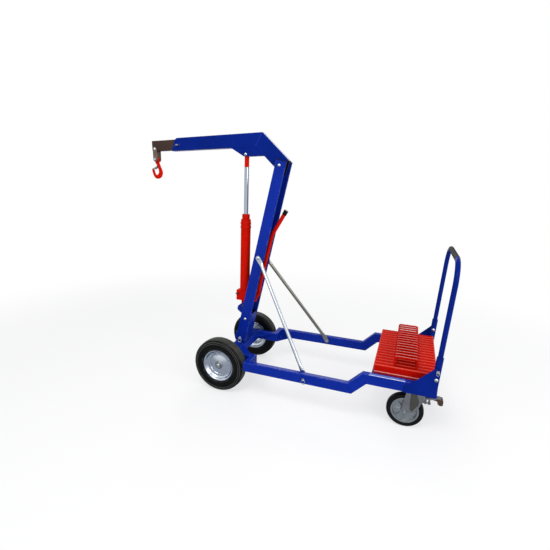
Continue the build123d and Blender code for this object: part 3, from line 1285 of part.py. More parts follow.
with BuildPart() as counterweights:
    for i in range(WEIGHTS):
        with BuildSketch(side_plane((i - (WEIGHTS - 1) / 2) * WEIGHT_PITCH)):
            with Locations(((WEIGHT_FRONT + WEIGHT_REAR) / 2, (TRAY_TOP + WEIGHT_TOP) / 2)):
                Rectangle(WEIGHT_REAR - WEIGHT_FRONT, WEIGHT_TOP - TRAY_TOP)
        extrude(amount=WEIGHT_THICKNESS / 2, both=True)
        with BuildSketch(side_plane((i - (WEIGHTS - 1) / 2) * WEIGHT_PITCH)):
            with Locations(((LOOP_FRONT + LOOP_REAR) / 2, (LOOP_TOP + WEIGHT_TOP - LOOP_CORNER) / 2)):
                RectangleRounded(LOOP_REAR - LOOP_FRONT, LOOP_TOP - WEIGHT_TOP + LOOP_CORNER, LOOP_CORNER - 1)
            low = WEIGHT_TOP + LOOP_SILL
            high = LOOP_TOP - LOOP_BAR
            with Locations(((LOOP_FRONT + LOOP_REAR) / 2, (low + high) / 2)):
                opening = LOOP_REAR - LOOP_FRONT - 2 * LOOP_BAR
                RectangleRounded(opening, high - low, LOOP_CORNER / 2, mode=Mode.SUBTRACT)
        extrude(amount=LOOP_WIDTH / 2, both=True)
counterweights.part.label = "counterweights"
export_step(counterweights.part, "parts/counterweights.step")

# Casters

PLATE_BOTTOM = DECK_Z - TOP_PLATE
RACE_BOTTOM = PLATE_BOTTOM - RACE_HEIGHT
CROWN_TOP = RACE_BOTTOM - FACE_GAP - LOWER_RACE
CROWN_BOTTOM = CROWN_TOP - CROWN_SHEET
LEG_INNER = CASTER_WIDTH / 2 + LEG_GAP
LEG_OUTER = LEG_INNER + LEG_SHEET
WHEEL_X = CASTER_X - CASTER_TRAIL
EAR_GAP = BRAKE_WIDTH / 2 + FACE_GAP
BRAKE_Z = CROWN_TOP - BRAKE_DROP

for name, side in SIDES:
    y = side * CASTER_OFFSET
    with BuildPart() as caster_plate:
        with BuildSketch(Plane.XY.offset(PLATE_BOTTOM)):
            with Locations((CASTER_X, y)):
                RectangleRounded(TOP_PLATE_LENGTH, TOP_PLATE_WIDTH, TOP_PLATE)
        extrude(amount=TOP_PLATE)
        with BuildSketch(Plane.XY.offset(RACE_BOTTOM)):
            with Locations((CASTER_X, y)):
                Circle(RACE_RADIUS)
        extrude(amount=RACE_HEIGHT)
        with BuildSketch(Plane.XY.offset(CROWN_BOTTOM - FACE_GAP - NUT_HEIGHT)):
            with Locations((CASTER_X, y)):
                Circle(KING_RADIUS)
        extrude(amount=RACE_BOTTOM - CROWN_BOTTOM + FACE_GAP + NUT_HEIGHT)
        with BuildSketch(Plane.XY.offset(CROWN_BOTTOM - FACE_GAP - NUT_HEIGHT)):
            with Locations((CASTER_X, y)):
                RegularPolygon(1.7 * KING_RADIUS, 6)
        extrude(amount=NUT_HEIGHT)
    caster_plate.part.label = f"{name}_caster_plate"
    export_step(caster_plate.part, f"parts/{name}_caster_plate.step")

    with BuildPart() as fork:
        with BuildSketch(Plane.XY.offset(CROWN_TOP)):
            with Locations((CASTER_X, y)):
                Circle(RACE_RADIUS)
        extrude(amount=RACE_BOTTOM - FACE_GAP - CROWN_TOP)
        with BuildSketch(Plane.XY.offset(CROWN_BOTTOM)):
            with Locations((CASTER_X, y)):
                Rectangle(2 * CROWN_REACH, 2 * LEG_OUTER)
            with Locations(((WHEEL_X + CASTER_X) / 2, y)):
                Rectangle(CASTER_TRAIL, 2 * LEG_OUTER)
        extrude(amount=CROWN_SHEET)
        for leg in (-1, 1):
            with BuildSketch(side_plane(y + leg * LEG_INNER)):
                outline(
                    [
                        (WHEEL_X, CROWN_TOP),
                        (WHEEL_X - 17, CASTER_RADIUS + 38),
                        (WHEEL_X - LEG_FOOT_RADIUS, CASTER_RADIUS),
                        (WHEEL_X + 30, CASTER_RADIUS - 7),
                        (WHEEL_X + 56, CASTER_RADIUS + 8),
                        (WHEEL_X + 81, CASTER_RADIUS + 44),
                        (WHEEL_X + 95, CASTER_RADIUS + 85),
                        (CASTER_X + 22, CROWN_TOP),
                    ]
                )
                with Locations((WHEEL_X, CASTER_RADIUS)):
                    Circle(LEG_FOOT_RADIUS)
            extrude(amount=-leg * LEG_SHEET)
            with BuildSketch(side_plane(y + leg * LEG_OUTER)):
                slot_outline((WHEEL_X + 38, CASTER_RADIUS + 34), (WHEEL_X + 46, CROWN_BOTTOM - 16), LEG_RIB)
            extrude(amount=-leg * LEG_RIB_HEIGHT)
            with BuildSketch(side_plane(y + leg * EAR_GAP)):
                outline(
                    [
                        (BRAKE_X - 20, CROWN_TOP - 1),
                        (CASTER_X + CROWN_REACH, CROWN_TOP - 1),
                        (BRAKE_X + BRAKE_BOSS_RADIUS, BRAKE_Z - BRAKE_BOSS_RADIUS),
                        (BRAKE_X - BRAKE_BOSS_RADIUS, BRAKE_Z - BRAKE_BOSS_RADIUS),
                    ]
                )
            extrude(amount=-leg * BRAKE_EAR)
        with BuildSketch(side_plane(y)):
            with Locations((BRAKE_X, BRAKE_Z)):
                Circle(BRAKE_PIN_RADIUS)
        extrude(amount=EAR_GAP + BRAKE_EAR, both=True)
        with BuildSketch(Plane.XY):
            with Locations((CASTER_X, y)):
                Circle(KING_RADIUS + RUNNING_CLEARANCE)
        extrude(amount=DECK_Z, mode=Mode.SUBTRACT)
        with BuildSketch(side_plane(y)):
            with Locations((WHEEL_X, CASTER_RADIUS)):
                Circle(CASTER_AXLE_RADIUS)
        extrude(amount=CASTER_RADIUS, both=True, mode=Mode.SUBTRACT)
    fork.part.label = f"{name}_caster_fork"
    export_step(fork.part, f"parts/{name}_caster_fork.step")

    with BuildPart() as caster_axle:
        shaft(across((WHEEL_X, y - LEG_OUTER, CASTER_RADIUS), 1), CASTER_AXLE_RADIUS, 2 * LEG_OUTER)
        for leg in (-1, 1):
            head = across((WHEEL_X, y + leg * LEG_OUTER, CASTER_RADIUS), leg)
            hexagon(head, 1.7 * CASTER_AXLE_RADIUS, CASTER_AXLE_RADIUS)
    caster_axle.part.label = f"{name}_caster_axle"
    export_step(caster_axle.part, f"parts/{name}_caster_axle.step")

    with BuildPart() as caster_rim:
        half = CASTER_WIDTH / 2 - 3
        with BuildSketch(side_plane(y, WHEEL_X, CASTER_RADIUS)):
            Circle(CASTER_RIM_RADIUS)
            Circle(CASTER_RIM_RADIUS - CASTER_RIM_RING, mode=Mode.SUBTRACT)
        extrude(amount=half, both=True)
        with BuildSketch(side_plane(y, WHEEL_X, CASTER_RADIUS)):
            with PolarLocations((CASTER_HUB_RADIUS + CASTER_RIM_RADIUS - CASTER_RIM_RING) / 2, CASTER_RIBS):
                Rectangle(CASTER_RIM_RADIUS - CASTER_HUB_RADIUS, CASTER_RIB)
        extrude(amount=half - CASTER_RIB, both=True)
        with BuildSketch(side_plane(y, WHEEL_X, CASTER_RADIUS)):
            Circle(CASTER_RIM_RADIUS - CASTER_RIM_RING / 2)
        extrude(amount=CASTER_WEB / 2, both=True)
        with BuildSketch(side_plane(y, WHEEL_X, CASTER_RADIUS)):
            Circle(CASTER_HUB_RADIUS)
        extrude(amount=LEG_INNER - FACE_GAP, both=True)
        with BuildSketch(side_plane(y, WHEEL_X, CASTER_RADIUS)):
            Circle(CASTER_AXLE_RADIUS + RUNNING_CLEARANCE)
        extrude(amount=CASTER_RADIUS, both=True, mode=Mode.SUBTRACT)
    caster_rim.part.label = f"{name}_caster_rim"
    export_step(caster_rim.part, f"parts/{name}_caster_rim.step")

    with BuildPart() as caster_tyre:
        half = CASTER_WIDTH / 2
        with BuildSketch(wheel_plane(WHEEL_X, y, CASTER_RADIUS)):
            outline(
                [
                    (half - 2, CASTER_RIM_RADIUS),
                    (half, CASTER_RIM_RADIUS + 6),
                    (half, CASTER_RADIUS - 12),
                    (half - 4, CASTER_RADIUS - 4),
                    (half - 11, CASTER_RADIUS),
                    (11 - half, CASTER_RADIUS),
                    (4 - half, CASTER_RADIUS - 4),
                    (-half, CASTER_RADIUS - 12),
                    (-half, CASTER_RIM_RADIUS + 6),
                    (2 - half, CASTER_RIM_RADIUS),
                ]
            )
        revolve(axis=Axis((WHEEL_X, y, CASTER_RADIUS), (0, 1, 0)))
    caster_tyre.part.label = f"{name}_caster_tyre"
    export_step(caster_tyre.part, f"parts/{name}_caster_tyre.step")

    arm_end = (BRAKE_X + BRAKE_ARM[0], BRAKE_Z + BRAKE_ARM[1])
    pedal_top = (BRAKE_X + PEDAL_TOP[0], BRAKE_Z + PEDAL_TOP[1])
    pedal_low = (BRAKE_X + PEDAL_LOW[0], BRAKE_Z + PEDAL_LOW[1])
    shoe = (WHEEL_X + BRAKE_SHOE_AT[0], CASTER_RADIUS + BRAKE_SHOE_AT[1])
    with BuildPart() as brake:
        with BuildSketch(side_plane(y)):
            with Locations((BRAKE_X, BRAKE_Z)):
                Circle(BRAKE_BOSS_RADIUS)
            slot_outline((BRAKE_X, BRAKE_Z), arm_end, BRAKE_ARM_HALF)
            slot_outline(arm_end, pedal_top, PEDAL_RADIUS)
            slot_outline(pedal_top, pedal_low, PEDAL_RADIUS)
            slot_outline((BRAKE_X, BRAKE_Z), shoe, BRAKE_SHOE_RADIUS)
            with Locations((BRAKE_X, BRAKE_Z)):
                Circle(BRAKE_PIN_RADIUS + RUNNING_CLEARANCE, mode=Mode.SUBTRACT)
        extrude(amount=BRAKE_WIDTH / 2, both=True)
        for step in BRAKE_SCREWS:
            rise = step * BRAKE_ARM[1] / BRAKE_ARM[0]
            under = Plane((BRAKE_X + step, y, BRAKE_Z + rise), x_dir=(1, 0, 0), z_dir=(0, 0, -1))
            hexagon(under, BRAKE_SCREW_RADIUS, BRAKE_ARM_HALF + BRAKE_SCREW_LENGTH)
    brake.part.label = f"{name}_caster_brake"
    export_step(brake.part, f"parts/{name}_caster_brake.step")

# Push handle

PIN_SPOT = spot(handle_plane(0), 0, HANDLE_PIN_RISE)
HANDLE_FRAME = Plane(origin=(HANDLE_X, 0, HANDLE_Z), x_dir=(0, 1, 0), z_dir=handle_plane(0).x_dir)
HANDLE_PATH = (
    (-HANDLE_OFFSET, SLEEVE_BOTTOM),
    (-HANDLE_OFFSET, HANDLE_HEIGHT),
    (HANDLE_OFFSET, HANDLE_HEIGHT),
    (HANDLE_OFFSET, SLEEVE_BOTTOM),
)

for name, side in SIDES:
    with BuildPart() as bracket:
        with BuildSketch(side_plane(side * RAIL_OUTER)):
            outline(
                [
                    (RAIL_END - BRACKET_REACH, DECK_Z),
                    (RAIL_END - BRACKET_REACH + 6, DECK_Z + 46),
                    (RAIL_END - 112, DECK_Z + 96),
                    (HANDLE_X - 26, HANDLE_Z + BRACKET_RISE - 14),
                    (HANDLE_X - 14, HANDLE_Z + BRACKET_RISE),
                    (HANDLE_X + 15, HANDLE_Z + BRACKET_RISE),
                    (HANDLE_X + 16, HANDLE_Z + BRACKET_RISE - 34),
                    (RAIL_END + BRACKET_SHEET, HANDLE_Z - 27),
                    (RAIL_END + BRACKET_SHEET, DECK_Z),
                ]
            )
        extrude(amount=-side * BRACKET_SHEET)
        with BuildSketch(Plane.XY.offset(DECK_Z)):
            with Locations((RAIL_END + BRACKET_SHEET / 2, side * (RAIL_OFFSET + BRACKET_SHEET / 2))):
                Rectangle(BRACKET_SHEET, RAIL_WIDTH + BRACKET_SHEET)
        extrude(amount=RAIL_HEIGHT)
        with BuildSketch(side_plane(0)):
            with Locations((HANDLE_X, HANDLE_Z)):
                Circle(HANDLE_BOLT_RADIUS)
            with Locations((PIN_SPOT.X, PIN_SPOT.Z)):
                Circle(LOCK_PIN_RADIUS)
        extrude(amount=-side * 2 * RAIL_OFFSET, mode=Mode.SUBTRACT)
    bracket.part.label = f"{name}_handle_bracket"
    export_step(bracket.part, f"parts/{name}_handle_bracket.step")

BRACKET_OUTER = RAIL_OUTER + BRACKET_SHEET

with BuildPart() as handle_lock_pins:
    for name, side in SIDES:
        shaft(across((PIN_SPOT.X, side * RAIL_OUTER, PIN_SPOT.Z), side), LOCK_PIN_RADIUS, BRACKET_SHEET)
        shaft(across((PIN_SPOT.X, side * BRACKET_OUTER, PIN_SPOT.Z), side), PIN_HEAD_RADIUS, PIN_HEAD_LENGTH)
        hang = (PIN_SPOT.X, side * (BRACKET_OUTER + PIN_HEAD_LENGTH), PIN_SPOT.Z - PIN_HEAD_RADIUS / 2)
        pull_ring(hang, side, SMALL_RING_RADIUS)
handle_lock_pins.part.label = "handle_lock_pins"
export_step(handle_lock_pins.part, "parts/handle_lock_pins.step")

NUT_OUTER = HANDLE_OFFSET - SLEEVE_RADIUS - FACE_GAP

with BuildPart() as handle_pivot_bolts:
    for name, side in SIDES:
        seat = across((HANDLE_X, side * NUT_OUTER, HANDLE_Z), side)
        shaft(seat, HANDLE_BOLT_RADIUS, BRACKET_OUTER - NUT_OUTER)
        head = across((HANDLE_X, side * BRACKET_OUTER, HANDLE_Z), side)
        dome(head, 2 * HANDLE_BOLT_RADIUS, HANDLE_BOLT_RADIUS)
        hexagon(across((HANDLE_X, side * NUT_OUTER, HANDLE_Z), -side), 1.7 * HANDLE_BOLT_RADIUS, THIN_NUT)
handle_pivot_bolts.part.label = "handle_pivot_bolts"
export_step(handle_pivot_bolts.part, "parts/handle_pivot_bolts.step")

with BuildPart() as push_handle:
    with BuildLine(HANDLE_FRAME) as bend:
        FilletPolyline(*HANDLE_PATH, radius=HANDLE_BEND)
    with BuildSketch(Plane(origin=bend.line @ 0, z_dir=bend.line % 0)):
        Circle(HANDLE_RADIUS)
        Circle(HANDLE_RADIUS - HANDLE_WALL, mode=Mode.SUBTRACT)
    sweep(path=bend.line)
    for name, side in SIDES:
        foot = Plane(
            origin=spot(handle_plane(side * HANDLE_OFFSET), 0, SLEEVE_BOTTOM),
            x_dir=handle_plane(0).x_dir,
            z_dir=handle_plane(0).y_dir,
        )
        with BuildSketch(foot):
            Circle(SLEEVE_RADIUS)
            Circle(HANDLE_RADIUS, mode=Mode.SUBTRACT)
        extrude(amount=SLEEVE_TOP - SLEEVE_BOTTOM)
    with BuildSketch(side_plane(0)):
        with Locations((HANDLE_X, HANDLE_Z)):
            Circle(HANDLE_BOLT_RADIUS + RUNNING_CLEARANCE)
        with Locations((PIN_SPOT.X, PIN_SPOT.Z)):
            Circle(LOCK_PIN_RADIUS + RUNNING_CLEARANCE)
    extrude(amount=2 * RAIL_OFFSET, both=True, mode=Mode.SUBTRACT)
push_handle.part.label = "push_handle"
export_step(push_handle.part, "parts/push_handle.step")

with BuildPart() as handle_grip:
    bar = spot(handle_plane(0), 0, HANDLE_HEIGHT)
    with BuildSketch(side_plane(0, bar.X, bar.Z)):
        Circle(HANDLE_RADIUS + GRIP_WALL)
        Circle(HANDLE_RADIUS, mode=Mode.SUBTRACT)
    extrude(amount=GRIP_LENGTH / 2, both=True)
handle_grip.part.label = "handle_grip"
export_step(handle_grip.part, "parts/handle_grip.step")
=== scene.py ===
"""Looks of the mini crane: finishes, rounded edges, tyres, welds and grips, and the studio around it.

Sizes in the classes are millimetres in the crane's own frame: X rearward, Y to the operator's right, Z up.
"""

import json
import logging
from dataclasses import dataclass
from enum import Enum
from math import cos, pi, radians, sin
from typing import Any, Callable

import bmesh
import bpy
from mathutils import Matrix, Vector


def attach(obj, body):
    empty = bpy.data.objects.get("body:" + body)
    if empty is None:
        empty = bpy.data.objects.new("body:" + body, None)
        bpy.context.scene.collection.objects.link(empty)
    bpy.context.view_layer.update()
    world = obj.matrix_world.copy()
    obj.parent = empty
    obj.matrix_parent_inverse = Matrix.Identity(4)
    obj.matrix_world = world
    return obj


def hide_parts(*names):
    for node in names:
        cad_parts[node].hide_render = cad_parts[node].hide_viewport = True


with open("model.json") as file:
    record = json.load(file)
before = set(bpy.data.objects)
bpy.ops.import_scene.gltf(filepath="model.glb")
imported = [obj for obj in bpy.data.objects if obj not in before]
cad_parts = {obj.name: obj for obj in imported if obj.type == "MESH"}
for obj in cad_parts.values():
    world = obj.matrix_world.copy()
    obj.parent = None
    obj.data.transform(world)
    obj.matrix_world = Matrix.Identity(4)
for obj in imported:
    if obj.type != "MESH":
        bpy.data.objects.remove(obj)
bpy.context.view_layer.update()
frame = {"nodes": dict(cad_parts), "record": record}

LOG = logging.getLogger("mini_crane")
MM = 0.001
ORIGIN = (0.0, 0.0, 0.0)
WHITE = (1.0, 1.0, 1.0, 1.0)
SIDES = (("left", -1), ("right", 1))
BODIES = {node: body for body, nodes in frame["record"]["behaviour"]["bodies"].items() for node in nodes}

Pair = tuple[float, float]
Point = tuple[float, float, float]
Outline = tuple[Pair, ...]
Piece = bpy.types.Object

# Face attribute that marks faces for a finish's edge colour: rubbed wear on the painted steel, a painted
# highlight on the weights and tyres.
EDGE_WEAR_OR_HIGHLIGHT = "edge_wear_or_highlight"
# Angle from which an edge counts as sharp, and up to which bars and beads look round, in degrees.
SHARP = 40.0
ROUND = 60.0
# Sockets of a Mix node that mixes colours.
MIX_SHARE, MIX_FIRST, MIX_SECOND, MIX_RESULT = 0, 6, 7, 2
# Part of a noise's range that holds most of its values.
NOISE_SPAN = (0.3, 0.7)
# Size of the patches of edge wear, and of the unevenness of painted edge highlights, in millimetres.
PATCH_SIZE = 25.0
# Faces across a rounded fold, and across the edge of a small block.
FOLD_STEPS = 4
BLOCK_STEPS = 3
# Corners of a node, and of a turned piece, that are closer than this merge, in millimetres.
MERGE_GAP = 0.004
SEAM_GAP = 0.01
# Faces of a node that meet at less than this join, in degrees.
FLAT_ANGLE = 0.6
# Step from ripple to ripple of a weld, as a share of its radius.
RIPPLE_STEP = 1.15
# Part of a normal along X, Y or Z from which a face counts as square to that axis.
SQUARE = 0.999


def linear(colour: str) -> tuple[float, float, float, float]:
    """Turns an sRGB hex colour, six digits after a hash, into the linear colour that shaders take."""
    parts = [int(colour[i : i + 2], 16) / 255 for i in (1, 3, 5)]
    return (*(c / 12.92 if c <= 0.04045 else ((c + 0.055) / 1.055) ** 2.4 for c in parts), 1.0)


@dataclass
class Wiring:
    """The shader nodes of a material or of the world."""

    owner: bpy.types.Material | bpy.types.World

    def __post_init__(self) -> None:
        """Takes out the nodes that are there at first."""
        self.owner.use_nodes = True
        self.tree = self.owner.node_tree
        self.tree.nodes.clear()

    def add(self, kind: str, settings: dict[Any, Any], links: dict[Any, Any], output: int | str = 0) -> Any:
        """Adds one shader node with its values and its links.

        Args:
            kind: Node type, without the prefix that all of them have.
            settings: Node properties, or values of its input sockets.
            links: Input sockets, each with the socket that feeds it.
            output: Output socket that is wanted.

        Returns:
            That output socket.
        """
        node = self.tree.nodes.new(f"ShaderNode{kind}")
        properties = [name for name in settings if hasattr(node, str(name))]
        for name in properties:
            setattr(node, name, settings[name])
        for name, value in settings.items():
            if name not in properties:
                node.inputs[name].default_value = value
        for name, source in links.items():
            self.tree.links.new(source, node.inputs[name])
        return node.outputs[output]

    def show(self, surface: Any, kind: str = "OutputMaterial") -> None:
        """Feeds a finished shader into the output node."""
        node = self.tree.nodes.new(f"ShaderNode{kind}")
        self.tree.links.new(surface, node.inputs["Surface"])

    def noise(self, size: float, place: Any, detail: float, roughness: float = 0.5) -> Any:
        """Adds a noise whose features are about size millimetres across."""
        settings = {"Scale": 1.0 / (size * MM), "Detail": detail, "Roughness": roughness}
        return self.add("TexNoise", settings, {"Vector": place})

    def span(self, value: Any, start: Pair, end: Pair = (0.0, 1.0), kind: str = "LINEAR") -> Any:
        """Maps a value from its range at the start to a range at the end."""
        limits = zip(("From Min", "From Max", "To Min", "To Max"), start + end)
        return self.add("MapRange", {"interpolation_type": kind, **dict(limits)}, {"Value": value})

    def math(self, operation: str, first: Any, second: Any) -> Any:
        """Works out one number from two."""
        return self.add("Math", {"operation": operation}, {0: first, 1: second})

    def blend(self, share: Any, first: Any, second: Any) -> Any:
        """Mixes two shaders by the share of the second."""
        return self.add("MixShader", {}, {0: share, 1: first, 2: second})


@dataclass(frozen=True)
class Finish:
    """A surface finish: the base of every material on the crane. Its sizes are millimetres."""

    name: str
    colour: str
    shade: str
    shader: tuple[tuple[str, Any], ...]
    roughness: Pair
    cloud: float
    grain: float
    grain_depth: float
    stretch: Point = (1.0, 1.0, 1.0)
    # Edge colour on marked faces: wear on some finishes, a painted highlight on others.
    wear_or_highlight: str = ""
    wear_or_highlight_share: float = 0.0
    wear_or_highlight_from: float = 0.45

    def material(self) -> bpy.types.Material:
        """Makes the material once, with its edge colour on marked faces, wear on some finishes and a painted
        highlight on others, and gives it again after that.

        Returns:
            The material of this finish.
        """
        known = bpy.data.materials.get(self.name)
        if known:
            return known
        made = bpy.data.materials.new(self.name)
        wiring = Wiring(made)
        place = wiring.add("TexCoord", {}, {}, "Object")
        place = wiring.add("Mapping", {"Scale": self.stretch}, {"Vector": place})
        cloud = wiring.noise(self.cloud, place, 4.0, 0.6)
        tints = {"data_type": "RGBA", MIX_FIRST: linear(self.shade), MIX_SECOND: linear(self.colour)}
        colour = wiring.add("Mix", tints, {MIX_SHARE: wiring.span(cloud, NOISE_SPAN)}, MIX_RESULT)
        if self.wear_or_highlight:
            edge = wiring.add("Attribute", {"attribute_name": EDGE_WEAR_OR_HIGHLIGHT}, {}, "Fac")
            rub = wiring.noise(PATCH_SIZE, place, 5.0, 0.7)
            spots = wiring.span(rub, (self.wear_or_highlight_from, NOISE_SPAN[1]), (0.0, self.wear_or_highlight_share))
            tints = {"data_type": "RGBA", MIX_SECOND: linear(self.wear_or_highlight)}
            links = {MIX_SHARE: wiring.math("MULTIPLY", edge, spots), MIX_FIRST: colour}
            colour = wiring.add("Mix", tints, links, MIX_RESULT)
        gloss = wiring.span(cloud, NOISE_SPAN, self.roughness)
        ripple = {"Strength": self.grain_depth, "Distance": self.grain * MM}
        bump = wiring.add("Bump", ripple, {"Height": wiring.noise(self.grain, place, 2.0)})
        links = {"Base Color": colour, "Roughness": gloss, "Normal": bump}
        wiring.show(wiring.add("BsdfPrincipled", dict(self.shader), links))
        return made


def coat(sheen: float) -> tuple[tuple[str, Any], ...]:
    """Shader values of a coat, by the strength of its sheen."""
    return (("IOR", 1.5), ("Specular IOR Level", sheen))


PAINT = coat(0.02)
GLOSS = coat(0.08)
ENAMEL = coat(0.006)
RUBBER = coat(0.1)
DULL = coat(0.12)
# Metal reflections greyed, and chrome's near black, towards grazing angles: painted dark reflections along
# their edges.
GREY_EDGED_METAL = (("Metallic", 1.0), ("Specular Tint", linear("#8f9093")))
BLACK_EDGED_CHROME = (("Metallic", 1.0), ("Specular Tint", linear("#0c0c0f")))
HALF_METAL = (("Metallic", 0.6),)
OILED = (("Metallic", 0.2), ("Specular IOR Level", 0.2))


class Finishes(Enum):
    """The finishes on the crane, by what the real surface is."""

    # Powder coat baked on steel: deep gloss, a slight ripple, and paler where it pulls thin over edges.
    BLUE = Finish(
        "blue_powder_coat", "#0a2a98", "#082489", PAINT, (0.15, 0.24), 220.0, 14.0, 0.03,
        wear_or_highlight="#3f57b4", wear_or_highlight_share=0.25,
    )
    # The same coat polished by boots and loads, on the side rails and the mast.
    RAIL_BLUE = Finish(
        "polished_blue_powder_coat", "#0a2a98", "#082489", GLOSS, (0.12, 0.2), 220.0, 14.0, 0.02,
        wear_or_highlight="#5f78c8", wear_or_highlight_share=0.4,
    )
    # The same coat painted pale on the rails' tops beside the weights: a painted reflection.
    SCUFFED_BLUE = Finish(
        "blue_coat_painted_reflection", "#6f86cd", "#4a64b8", GLOSS, (0.2, 0.3), 60.0, 8.0, 0.02,
    )
    # Near-white bead along the rails' outer top edges: a painted highlight.
    SCUFFED_EDGE = Finish("painted_edge_highlight", "#dfe5f6", "#b4c0e4", GLOSS, (0.2, 0.3), 60.0, 8.0, 0.01)
    # A darker copy of the same coat on the boom, the push handle, its brackets and their welds, as painted
    # shade, with paler worn edges.
    DEEP_BLUE = Finish(
        "shaded_blue_powder_coat", "#09237f", "#071e70", PAINT, (0.15, 0.24), 220.0, 14.0, 0.02,
        wear_or_highlight="#3a50a6", wear_or_highlight_share=0.25,
    )
    # The coat over weld ripples, painted paler as the highlights on the ripples.
    WELD_BLUE = Finish("blue_weld_painted_highlight", "#3450ae", "#1c3a9e", PAINT, (0.2, 0.3), 30.0, 4.0, 0.05)
    # The same coat on the pump, lever and hook.
    RED = Finish(
        "red_powder_coat", "#cc1405", "#ba1004", PAINT, (0.16, 0.26), 180.0, 14.0, 0.01,
        wear_or_highlight="#d04a3a", wear_or_highlight_share=0.25,
    )
    # Enamel brushed over rough castings: glossy but uneven, with the plates' rounded edges painted paler as
    # highlights.
    CAST_RED = Finish(
        "red_enamel_on_iron", "#bd1006", "#b00e05", ENAMEL, (0.2, 0.32), 240.0, 14.0, 0.015,
        wear_or_highlight="#e2604f", wear_or_highlight_share=0.6, wear_or_highlight_from=-0.4,
    )
    # Darker enamel on the sills under the handles: painted shade.
    SILL_RED = Finish("shaded_red_enamel", "#980b04", "#8a0903", ENAMEL, (0.3, 0.4), 240.0, 14.0, 0.01)
    # Enamel on the ribs and the tops of the handles, with their edges and tops painted pale as highlights.
    RIB_RED = Finish(
        "red_enamel_painted_highlights", "#bd1006", "#b00e05", ENAMEL, (0.2, 0.3), 240.0, 14.0, 0.004,
        wear_or_highlight="#eeb4ab", wear_or_highlight_share=0.65, wear_or_highlight_from=-0.4,
    )
    # Bright zinc with a blue passivate: silver with faint clouds and soft highlights.
    ZINC = Finish("zinc_plated_steel", "#c6ccd4", "#b4bbc4", GREY_EDGED_METAL, (0.2, 0.3), 120.0, 6.0, 0.006)
    # A darker, olive copy of the zinc for the far tie rod: painted shade.
    OLIVE_ZINC = Finish("shaded_olive_zinc", "#a09f95", "#8c8b80", GREY_EDGED_METAL, (0.26, 0.36), 120.0, 6.0, 0.006)
    # Zinc that went blue-grey on the pressed rims.
    RIM_ZINC = Finish("grey_zinc_rim", "#ccd4de", "#c0c8d2", GREY_EDGED_METAL, (0.18, 0.26), 160.0, 6.0, 0.003)
    # Zinc on bolt heads, wiped but not polished.
    BOLT_ZINC = Finish("wiped_zinc_bolts", "#b8bec6", "#a9afb7", GREY_EDGED_METAL, (0.2, 0.3), 60.0, 6.0, 0.004)
    # Zinc that has dulled on pressed sheet.
    DULL_ZINC = Finish("dulled_zinc_sheet", "#9fa1a2", "#8a8c8d", GREY_EDGED_METAL, (0.36, 0.52), 45.0, 5.0, 0.03)
    # Fresh zinc on pins that are handled: pale and even.
    PIN_ZINC = Finish("pale_pin_zinc", "#dfe2e6", "#cfd3d8", HALF_METAL, (0.2, 0.3), 60.0, 6.0, 0.006)
    # Hard chrome, ground and polished.
    CHROME = Finish("hard_chrome", "#aeb6c2", "#a6aebb", BLACK_EDGED_CHROME, (0.08, 0.12), 120.0, 8.0, 0.002)
    # Hot-rolled tube with its brown mill scale, oiled.
    MILL_SCALE = Finish(
        "mill_scale_steel", "#43302a", "#33241f", OILED, (0.42, 0.6), 60.0, 5.0, 0.08,
        stretch=(0.3, 1.0, 1.0), wear_or_highlight="#6b564b", wear_or_highlight_share=0.4,
    )
    # Flat bar wiped clean: greyer than the tube.
    FLAT_BAR = Finish("bare_flat_bar", "#78675d", "#5c4a41", HALF_METAL, (0.38, 0.55), 40.0, 5.0, 0.05)
    # Brake pedals, browned where boots have rubbed them.
    PEDAL_BROWN = Finish("rubbed_brown_steel", "#6b5240", "#503c2e", HALF_METAL, (0.34, 0.5), 30.0, 4.0, 0.05)
    # Oiled dark steel of axles and glands.
    DARK_STEEL = Finish("oiled_dark_steel", "#5c5b57", "#45443f", GREY_EDGED_METAL, (0.34, 0.5), 50.0, 5.0, 0.05)
    # Black rubber tyre, with its sharp edges painted paler as highlights.
    TYRE = Finish(
        "black_tyre_wall", "#0c0d0d", "#080909", RUBBER, (0.3, 0.4), 55.0, 4.0, 0.05,
        wear_or_highlight="#5c5d5a", wear_or_highlight_share=0.9,
    )
    # The tread of the same tyre, greyed by road dust and painted lighter for the light on it, with its rib
    # edges painted paler as highlights.
    TREAD = Finish(
        "greyed_tyre_tread", "#4f504d", "#3a3b38", RUBBER, (0.36, 0.48), 55.0, 4.0, 0.08,
        wear_or_highlight="#6a6a66", wear_or_highlight_share=0.7,
    )
    # Moulded rings on the tyre's wall, painted paler as highlights.
    WALL_RING = Finish("tyre_ring_painted_highlight", "#4a4b49", "#323332", RUBBER, (0.36, 0.48), 55.0, 4.0, 0.05)
    # Rubber band on the casters, a little glossier.
    CASTER_RUBBER = Finish("black_caster_band", "#121314", "#0c0d0d", DULL, (0.42, 0.56), 50.0, 4.0, 0.05)
    # Die-cast aluminium, as it left the mould.
    CAST_ALLOY = Finish("cast_aluminium", "#b2b7b9", "#9ba0a2", GREY_EDGED_METAL, (0.3, 0.42), 35.0, 4.0, 0.05)
    # Foam rubber sleeve.
    GRIP = Finish("grip_foam", "#14161a", "#0e1013", DULL, (0.5, 0.66), 40.0, 3.0, 0.12)
    # Pressed face of the caster legs, painted darker as shade.
    LEG_FACE = Finish("shaded_pressed_zinc", "#706e67", "#5e5c55", GREY_EDGED_METAL, (0.34, 0.5), 40.0, 5.0, 0.03)
    # Moulded black vinyl for the lever's cap and the boom's plug; also black strips that paint shade on the
    # mast's tops and behind the boom's tail.
    BLACK_CAP = Finish("black_vinyl_and_painted_shade", "#0d0d0d", "#080808", DULL, (0.3, 0.42), 30.0, 4.0, 0.04)


@dataclass(frozen=True)
class Edges:
    """How the edges of a piece are rounded, in millimetres and degrees."""

    small: float = 1.0
    fold: float = 0.0
    fold_from: float = 90.0
    steps: int = 2
    sharp: float = SHARP


